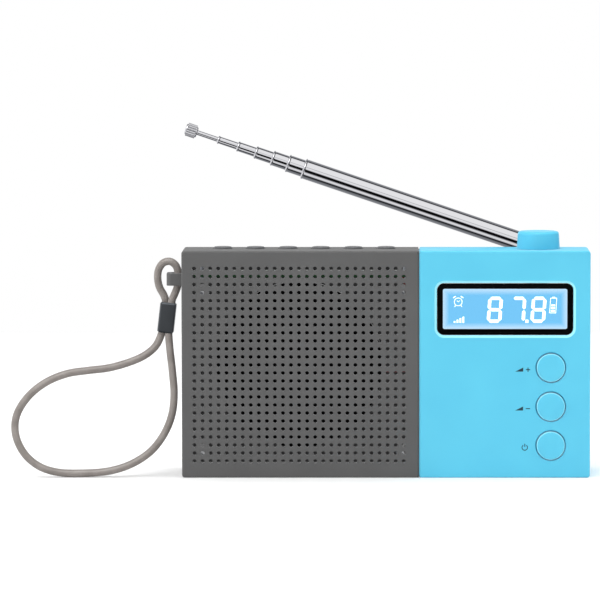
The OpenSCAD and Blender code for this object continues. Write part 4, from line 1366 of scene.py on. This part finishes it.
        def outline(grow: float) -> Outline:
            """The window's outline, grown on every side."""
            r = self.window_r + grow
            return rounded_rect(low.x - grow, high.x + grow, low.z - grow, high.z + grow, r, r, 8)

        return loft([(face - 1, outline(self.bevel_w)), (face, outline(self.bevel_w)),
                     (face + self.bevel_d, outline(self.fit)),
                     (face + self.wall + 1, outline(self.fit))])

    def rear(self, side: Side) -> None:
        """A rear shell with its screw wells, and on the right the door's opening.

        Args:
            side: Which half.
        """
        node = f"rear_shell_{side.value}"
        box = self.bounds(node, side)
        shell = object_from(node + "_skin", self.skin(side, box, box[3], box[2], box[5], 0))
        cutters = [lathe([(0, -0.6), (2.11, -0.6), (2.11, 0.0), (1.95, self.hole_flare),
                          (1.95, self.wall + 1), (0, self.wall + 1)],
                         facing("-Y", (x, box[3] * MM, z)), 32) for x, z in self.wells(box)]
        if side is Side.RIGHT:
            low, high = (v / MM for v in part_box("battery_door"))
            pin = 1.4
            gap = 0.25
            opening = rounded_rect(low.x + pin - gap, high.x - pin + gap, low.z - gap,
                                   high.z + gap, 0.6, 0.6, 3)
            cutters.append(loft([(box[3] - 3, opening), (box[3] + 1, opening)]))
            bush = mid("antenna_bush")
            cutters.append(self.key_cutter("+Z", (bush.x, bush.y, box[5] * MM), 4.5))
        cut_away(shell, cutters)
        bm = bmesh.new()
        bm.from_mesh(shell.data)
        bpy.data.objects.remove(shell)
        self.join(bm, self.tongue(side, box, box[5]))
        for x, z in self.wells(box):
            depth = box[3] - box[2] - 2.5
            self.join(bm, lathe([(1.95, self.wall - 0.2), (1.95, depth), (1.1, depth),
                                 (1.1, depth + 2.4), (2.4, depth + 2.4), (2.4, self.wall - 0.2)],
                                facing("-Y", (x, box[3] * MM, z)), 32, closed=True))
        shell = soften(object_from(node + "_skin", bm), 32)
        dress(shell, GREY_ABS if side is Side.LEFT else BLUE_ABS, nodes=[node])

    def wells(self, box: tuple[float, ...]) -> list[tuple[float, float]]:
        """Where the case screws of one shell are.

        Args:
            box: The shell's box in millimetres.

        Returns:
            X in metres and Z in metres of each screw.
        """
        found: dict[tuple[int, int], list[Vector]] = {}
        for vert in frame["nodes"]["case_screws"].data.vertices:
            key = (round(vert.co.x / (8 * MM)), round(vert.co.z / (8 * MM)))
            found.setdefault(key, []).append(vert.co)
        merged: list[list[Vector]] = []
        for points in found.values():
            spot = sum(points, Vector()) / len(points)
            for group in merged:
                if (sum(group, Vector()) / len(group) - spot).length < 6 * MM:
                    group.extend(points)
                    break
            else:
                merged.append(list(points))
        centres = [((min(p.x for p in g) + max(p.x for p in g)) / 2,
                    (min(p.z for p in g) + max(p.z for p in g)) / 2) for g in merged]
        return [c for c in centres if box[0] * MM < c[0] < box[1] * MM]

    def turret(self) -> None:
        """The round turret, tapered, with a full round at its top edge."""
        low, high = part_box("antenna_tower")
        centre = mid("antenna_tower")
        height = 6.0
        r0 = (high.x - low.x) / 2 / MM
        r1, e = r0 - 0.3, 1.0
        profile = [(0, -2), (r1 - 1.5, -2), (r1 - 1.5, 0), (r0 - 0.1, 0), (r0, 0.1),
                   (r1, height - e), *arc((r1 - e, height - e), e, 12, 90, 6), (0, height)]
        bm = lathe(profile, facing("+Z", (centre.x, centre.y, high.z - height * MM)), 96)
        dress(soften(object_from("turret", bm), 32), BLUE_ABS, nodes=["antenna_tower"])

    def lug(self) -> None:
        """The strap's lug, with soft edges."""
        dress(soften(cad_copy("strap_lug", "lug"), 30, 0.35, 3), GREY_ABS, nodes=["strap_lug"])

    def door(self) -> None:
        """The battery door, with soft edges and its finger dip."""
        dress(soften(cad_copy("battery_door", "door"), 40, 0.2, 2), BLUE_ABS, "door",
              ["battery_door"])


# ---------------------------------------------------------------- display


@dataclass
class Marks:
    """Thin flat marks on a surface that faces the front, in X and Z."""

    face: float
    thick: float
    bm: bmesh.types.BMesh = field(default_factory=bmesh.new)

    def patch(self, outline: Outline) -> None:
        """Adds a flat mark.

        Args:
            outline: Its corners.
        """
        front, back = (
            [self.bm.verts.new((x * MM, y * MM, z * MM)) for x, z in outline]
            for y in (self.face - self.thick, self.face)
        )
        self.bm.faces.new(front)
        self.bm.faces.new(list(reversed(back)))
        for k in range(len(outline)):
            after = (k + 1) % len(outline)
            self.bm.faces.new((front[after], front[k], back[k], back[after]))

    def bar(self, start: tuple[float, float], end: tuple[float, float], width: float,
            pointed: bool = False) -> None:
        """Adds a straight stroke.

        Args:
            start: One end.
            end: The other end.
            width: Its width.
            pointed: Whether its ends are mitred, as a display segment's are.
        """
        a, b = Vector(start), Vector(end)
        way = (b - a).normalized()
        side = Vector((-way.y, way.x)) * width / 2
        if pointed:
            nip = way * width / 2
            points = [b - nip - side, b, b - nip + side, a + nip + side, a, a + nip - side]
        else:
            points = [b - side, b + side, a + side, a - side]
        self.patch([(p.x, p.y) for p in points])

    def ring(self, centre: tuple[float, float], radius: float, width: float,
             start: float = 0, end: float = 360) -> None:
        """Adds a round stroke.

        Args:
            centre: Its centre.
            radius: Radius of its middle line.
            width: Its width.
            start: Angle that it starts at.
            end: Angle that it ends at.
        """
        outer = arc(centre, radius + width / 2, start, end, 20)
        inner = arc(centre, radius - width / 2, start, end, 20)
        for k in range(20):
            self.patch([outer[k], outer[k + 1], inner[k + 1], inner[k]])

    def piece(self, name: str, finish: Finish) -> None:
        """Turns the marks into one piece.

        Args:
            name: Its name.
            finish: Its finish.
        """
        dress(object_from(name, self.bm), finish)


@dataclass
class Display:
    """Window, black border, lit glass and its segments."""

    digit_w: float = 5.05
    digit_h: float = 9.0
    stroke: float = 1.12
    slant: float = 0.07
    segment_gap: float = 0.12
    foot_z: float = 53.2
    digits: tuple[tuple[str, float], ...] = (("abcdefg", 34.5), ("abc", 42.5), ("abcdefg", 49.45))
    ink: float = 0.03

    def build(self) -> None:
        """Makes the window, the glass and what it shows."""
        window = soften(cad_copy("display_window", "window"), 30, 0.12, 2)
        dress(window, ACRYLIC, nodes=["display_window"])
        repaint("window_mask", BLACK_INK)
        repaint("lcd_holder", BLACK_ABS)
        repaint("lcd_backlight", GUIDE)
        repaint("lcd_glass", LitGlass("lit_blue_display_glass", "#7CCBF7", 0.2,
                                      middle=tuple(mid("lcd_glass")), strength=1.1))
        marks = Marks(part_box("lcd_glass")[0].y / MM, self.ink)
        for lit, left in self.digits:
            self.digit(marks, lit, left)
        marks.bar((47.75, self.foot_z + 0.55), (48.8, self.foot_z + 0.55), 1.05)
        self.clock(marks, (24.75, 60.4))
        self.signal(marks, (23.5, 53.2))
        self.battery(marks, (57.1, 56.6))
        marks.piece("lit_segments", SEGMENT)

    def digit(self, marks: Marks, lit: str, left: float) -> None:
        """Adds one seven-segment digit.

        Args:
            marks: The marks that get it.
            lit: Letters of the lit segments, a to g.
            left: X of its lower left corner.
        """
        s, g = self.stroke, self.segment_gap
        x0, x1 = left + s / 2, left + self.digit_w - s / 2
        z0, z1 = self.foot_z + s / 2, self.foot_z + self.digit_h - s / 2
        zm = (z0 + z1) / 2

        def lean(x: float, z: float) -> tuple[float, float]:
            """Slants a point as the digits slant."""
            return x + (z - z0) * self.slant, z

        ends = {"a": ((x0 + g, z1), (x1 - g, z1)), "b": ((x1, zm + g), (x1, z1 - g)),
                "c": ((x1, z0 + g), (x1, zm - g)), "d": ((x0 + g, z0), (x1 - g, z0)),
                "e": ((x0, z0 + g), (x0, zm - g)), "f": ((x0, zm + g), (x0, z1 - g)),
                "g": ((x0 + g, zm), (x1 - g, zm))}
        for letter in lit:
            start, end = ends[letter]
            marks.bar(lean(*start), lean(*end), s, pointed=True)

    def clock(self, marks: Marks, centre: tuple[float, float]) -> None:
        """An alarm clock: dial, hands, two bells and two feet.

        Args:
            marks: What draws the segments.
            centre: The dial's middle.
        """
        x, z = centre
        marks.ring(centre, 1.35, 0.22)
        marks.bar((x, z), (x - 0.5, z + 0.45), 0.16)
        marks.bar((x, z), (x + 0.6, z + 0.45), 0.16)
        for side in (-1, 1):
            marks.bar((x + side * 0.85, z + 1.95), (x + side * 1.75, z + 1.35), 0.34)
            marks.bar((x + side * 0.95, z - 1.2), (x + side * 1.25, z - 1.75), 0.24)

    def signal(self, marks: Marks, foot: tuple[float, float]) -> None:
        """Reception: four bars that rise to the right.

        Args:
            marks: What draws the segments.
            foot: The middle of its foot.
        """
        x, z = foot
        for i in range(4):
            marks.bar((x + i, z), (x + i, z + 0.6 + 0.5 * i), 0.6)

    def battery(self, marks: Marks, foot: tuple[float, float]) -> None:
        """An upright battery with three of its charge bars lit.

        Args:
            marks: What draws the segments.
            foot: The middle of its foot.
        """
        x, z = foot
        w, h = 2.1, 5.1
        lean = h * self.slant
        corners = [(x - w / 2, z), (x + w / 2, z), (x + w / 2 + lean, z + h),
                   (x - w / 2 + lean, z + h)]
        for one, two in zip(corners, corners[1:] + corners[:1]):
            marks.bar(one, two, 0.2)
        marks.bar((x + lean - 0.5, z + h + 0.25), (x + lean + 0.5, z + h + 0.25), 0.35)
        for i in range(3):
            level = 0.7 + i * 0.95
            shift = level * self.slant
            marks.bar((x - 0.65 + shift, z + level), (x + 0.65 + shift, z + level), 0.62)


# ---------------------------------------------------------------- keys


@dataclass
class Keys:
    """Front and top keys, and the small signs beside the front ones."""

    edge: float = 0.5
    flange: float = 0.95
    flange_t: float = 0.8
    stem_r: float = 1.6
    stem_t: float = 0.75
    ink: float = 0.02

    def build(self) -> None:
        """Makes every key and every sign."""
        for key, body in (("volume_up_key", "volume_up_button"),
                          ("volume_down_key", "volume_down_button"),
                          ("power_key", "power_button")):
            low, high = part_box(key)
            self.key(key, body, facing("+Y", (mid(key).x, low.y, mid(key).z)),
                     (high.x - low.x) / 2 / MM, (high.y - low.y) / MM, BLUE_ABS, "blue_abs")
        for i in range(1, 7):
            key = f"top_key_{i}"
            low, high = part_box(key)
            place = (facing("+Z", (mid(key).x, mid(key).y, high.z))
                     @ Matrix.Rotation(math.pi, 4, "X"))
            self.key(key, f"top_button_{i}", place, (high.x - low.x) / 2 / MM,
                     (high.z - low.z) / MM, DARK_ABS, "dark_key_abs")
        self.labels()

    def key(self, node: str, body: str, place: Matrix, outer: float, height: float,
            finish: Finish, slot: str) -> None:
        """One round key: a bevelled cap, a flange behind the wall and a stem.

        Args:
            node: The key's node.
            body: Its body.
            place: Where its face is, with its own Z axis running inwards.
            outer: Radius of the flange.
            height: Length from the face to the end of the stem.
            finish: Its finish.
            slot: The record's slot; not used.
        """
        r, e = outer - self.flange, self.edge
        back = height - self.stem_t
        profile = [(0, 0.06), (r * 0.55, 0.04), (r - e - 0.1, 0.0), (r - e, 0.02),
                   *[(r - e + e * math.sin(a), e * (1 - math.cos(a)))
                     for a in (math.radians(30), math.radians(60), math.radians(90))],
                   (r, back - self.flange_t), (outer, back - self.flange_t), (outer, back),
                   (self.stem_r, back), (self.stem_r, height), (0, height)]
        made = dress(soften(object_from(node + "_cap", lathe(profile, place, 96)), 40), finish,
                     body, [node])
        # Blue keys get a paler rim, a painted highlight for the light that the rim catches.
        if finish is BLUE_ABS:
            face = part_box(node)[0].y
            edge_finish(made, BLUE_EDGE_HIGHLIGHT, lambda at, normal: -0.98 < normal.y < -0.3
                        and at.y < face + e * MM)

    def labels(self) -> None:
        """Plain signs printed left of the front keys: louder, quieter, and on or standby."""
        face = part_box("front_shell_right")[0].y / MM
        marks = Marks(face, self.ink)
        for key in ("volume_up_key", "volume_down_key"):
            z = mid(key).z / MM - 0.65
            marks.patch([(44.3, z - 0.65), (47.0, z - 0.65), (47.0, z + 0.75)])
            marks.bar((47.9, z), (49.4, z), 0.3)
            if key == "volume_up_key":
                marks.bar((48.65, z - 0.75), (48.65, z + 0.75), 0.3)
        x, z = 47.6, mid("power_key").z / MM - 0.65
        marks.ring((x, z), 0.95, 0.28, 125, 415)
        marks.bar((x, z + 0.2), (x, z + 1.3), 0.28)
        marks.piece("key_signs", LABEL_INK)


# ---------------------------------------------------------------- antenna


@dataclass
class Antenna:
    """Seven nested sections, a ribbed cap and the foot that they tilt and turn on."""

    bead: float = 0.2
    bead_l: float = 0.8
    clear: float = 0.1
    ribs: int = 14
    sides: int = 64

    def build(self) -> None:
        """Makes each section, the cap and the foot."""
        joints = {j["name"]: j for j in frame["joints"]}
        self.pivot = Vector(joints["antenna_tilt"]["pos_m"])
        self.way = Vector(joints["antenna_section_2_slide"]["axis"]).normalized()
        turn = Vector((0, 0, 1)).rotation_difference(self.way).to_matrix().to_4x4()
        self.place = Matrix.Translation(self.pivot) @ turn
        names = [f"antenna_tube_{i}" for i in range(1, 7)]
        bodies = ["antenna_base"] + [f"antenna_section_{i}" for i in range(2, 7)]
        spans = [self.span(n) for n in names + ["antenna_tip_rod"]]
        for i, (name, body) in enumerate(zip(names, bodies)):
            bore = (spans[i + 1][2] - (self.bead if i < 5 else 0)) + self.clear
            self.tube(name, body, spans[i], bore)
        self.tip(spans[-1])
        self.cap()
        for node, body in (("swivel_post", "antenna_swivel"), ("antenna_root", "antenna_base")):
            dress(soften(cad_copy(node, node + "_plated"), 40, 0.18, 2), CHROME, body, [node])
        repaint("tilt_pin", CHROME)
        repaint("antenna_nut", ZINC)
        repaint("antenna_bush", BRASS)

    def span(self, node: str) -> tuple[float, float, float]:
        """Start, end and largest radius of a node along the antenna, in millimetres.

        Args:
            node: The node's name.

        Returns:
            Its start, end and largest radius.
        """
        start, end, radius = 1e9, -1e9, 0.0
        for vert in frame["nodes"][node].data.vertices:
            off = vert.co - self.pivot
            along = off.dot(self.way)
            start, end = min(start, along), max(end, along)
            radius = max(radius, (off - self.way * along).length)
        return start / MM, end / MM, radius / MM

    def tube(self, node: str, body: str, span: tuple[float, float, float], bore: float) -> None:
        """One drawn tube with a rolled bead at its mouth.

        Args:
            node: The tube's node.
            body: Its body.
            span: Its start, end and bead radius.
            bore: Radius of its bore.
        """
        start, end, bead_r = span
        r, b = bead_r - self.bead, self.bead_l
        roll = [(r + self.bead * math.sin(math.pi * t / 6), end - b + (b - 0.15) * t / 6)
                for t in range(1, 6)]
        profile = [(r - 0.05, start), (r, start + 0.05), (r, end - b - 0.35),
                   (r - 0.03, end - b - 0.2), (r, end - b), *roll, (r - 0.02, end - 0.15),
                   (bore + 0.05, end), (bore, end - 0.05), (bore, start)]
        bm = lathe(profile, self.place, self.sides, closed=True)
        dress(soften(object_from(node + "_drawn", bm), 50), CHROME, body, [node])

    def tip(self, span: tuple[float, float, float]) -> None:
        """The solid rod at the end.

        Args:
            span: Its start, end and radius.
        """
        start, end, r = span
        bm = lathe([(0, start), (r - 0.1, start), (r, start + 0.1), (r, end - 0.1), (r - 0.1, end),
                    (0, end)], self.place, 32)
        dress(soften(object_from("tip_rod_drawn", bm), 50), CHROME, "antenna_tip",
              ["antenna_tip_rod"])

    def rib_tree(self) -> bpy.types.NodeTree:
        """The node tree that sets ribs evenly round the cap.

        Returns:
            The tree, with an input for each size.
        """
        tree = bpy.data.node_groups.new("cap_ribs", "GeometryNodeTree")
        for name, kind in (("Count", "NodeSocketInt"), ("Radius", "NodeSocketFloat"),
                           ("Length", "NodeSocketFloat"), ("Thickness", "NodeSocketFloat"),
                           ("Material", "NodeSocketMaterial")):
            tree.interface.new_socket(name, in_out="INPUT", socket_type=kind)
        tree.interface.new_socket("Geometry", in_out="OUTPUT", socket_type="NodeSocketGeometry")
        given = add_node(tree, "NodeGroupInput").outputs
        circle = add_node(tree, "GeometryNodeMeshCircle", {
            "Vertices": given["Count"], "Radius": given["Radius"]})
        rib = add_node(tree, "GeometryNodeMeshCylinder", {
            "Vertices": 12, "Side Segments": 1, "Radius": given["Thickness"],
            "Depth": given["Length"]})
        spread = add_node(tree, "GeometryNodeInstanceOnPoints", {
            "Points": circle.outputs[0], "Instance": rib.outputs["Mesh"]})
        real = add_node(tree, "GeometryNodeRealizeInstances", {0: spread.outputs[0]})
        shaded = add_node(tree, "GeometryNodeSetMaterial", {
            "Geometry": real.outputs[0], "Material": given["Material"]})
        add_node(tree, "NodeGroupOutput", {"Geometry": shaded.outputs[0]})
        return tree

    def cap(self) -> None:
        """The end cap: a turned core with a ring of ribs and a domed face."""
        start, end, radius = self.span("antenna_cap")
        rib, e = 0.42, 0.5
        core = radius - rib
        length = end - start
        tree = self.rib_tree()
        ribs = link_object("cap_ribs", bpy.data.meshes.new("cap_ribs"))
        modifier = ribs.modifiers.new("ribs", "NODES")
        modifier.node_group = tree
        values = {"Count": self.ribs, "Radius": core * MM, "Length": (length - 2 * e) * MM,
                  "Thickness": rib * MM, "Material": CHROME.material()}
        for item in tree.interface.items_tree:
            if item.in_out == "INPUT":
                modifier[item.identifier] = values[item.name]
        bake_modifiers(ribs)
        bm = bmesh.new()
        bm.from_mesh(ribs.data)
        bpy.data.objects.remove(ribs)
        middle = Matrix.Translation((0, 0, (start + end) / 2 * MM))
        bmesh.ops.transform(bm, matrix=self.place @ middle, verts=bm.verts)
        profile = [(0, start), (core - 0.3, start), (core, start + 0.3), (core, end - e),
                   *[(core - e + e * math.cos(a), end - e + e * math.sin(a))
                     for a in (math.radians(30), math.radians(60))], (core - e, end),
                   (0.9, end), (0.75, end - 0.15), (0, end - 0.15)]
        mesh = bpy.data.meshes.new("core")
        turned = lathe(profile, self.place, 48)
        turned.to_mesh(mesh)
        turned.free()
        bm.from_mesh(mesh)
        bpy.data.meshes.remove(mesh)
        dress(soften(object_from("ribbed_cap", bm), 40), CHROME, "antenna_tip", ["antenna_cap"])


# ---------------------------------------------------------------- inside


@dataclass
class Inside:
    """What the cabinet holds: it keeps the frame's shapes and gets its own finishes."""

    finishes: dict[str, Finish] = field(default_factory=lambda: {
        "main_board": BOARD, "key_board": BOARD, "key_switches": BLACK_ABS, "tuner_shield": TIN,
        "board_components": EPOXY, "board_screws": ZINC, "phones_jack": BLACK_ABS,
        "usb_socket": TIN, "wiring": PVC, "speaker_frame": BLACK_STEEL, "speaker_surround": FOAM,
        "speaker_cone": PAPER, "dust_cap": PAPER, "voice_coil": COPPER,
        "speaker_spider": SPIDER_CLOTH, "speaker_top_plate": ZINC, "speaker_magnet": FERRITE,
        "speaker_yoke": ZINC, "speaker_screws": BLACK_STEEL, "battery_tray": BLACK_ABS,
        "battery_contacts": NICKEL})

    def build(self) -> None:
        """Dresses the inner pieces and lays in the dust cloth."""
        for node, finish in self.finishes.items():
            repaint(node, finish)
        repaint("battery_cells", CellJacket("printed_cell_film", "#1B1B1D", 0.3,
                                            low_z=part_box("battery_cells")[0].z))
        self.cloth()

    def cloth(self) -> None:
        """The round dust cloth, stretched over the speaker's rim."""
        low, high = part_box("grille_cloth")
        centre = mid("grille_cloth")
        radius = (high.x - low.x) / 2 / MM
        thick = (high.y - low.y) / MM
        sag = [(radius * t / 8, thick * 0.5 - 0.08 * (1 - (t / 8) ** 2)) for t in range(9)]
        front = [(r, h + 0.1) for r, h in reversed(sag)]
        bm = lathe([*sag, *front], facing("+Y", (centre.x, low.y, centre.z)), 64)
        cloth = dress(soften(object_from("dust_cloth", bm), 60), CLOTH, nodes=["grille_cloth"])


def main() -> None:
    """Builds the stage, then each sub-assembly in turn."""
    logging.basicConfig(level=logging.INFO, format="%(name)s: %(message)s")
    studio = Studio()
    for part in (studio, WristStrap(), Cabinet(), Display(), Keys(), Antenna(), Inside()):
        LOG.info("building %s", type(part).__name__)
        part.build()
    studio.clear_mirrors()


if __name__ == "__main__":
    main()
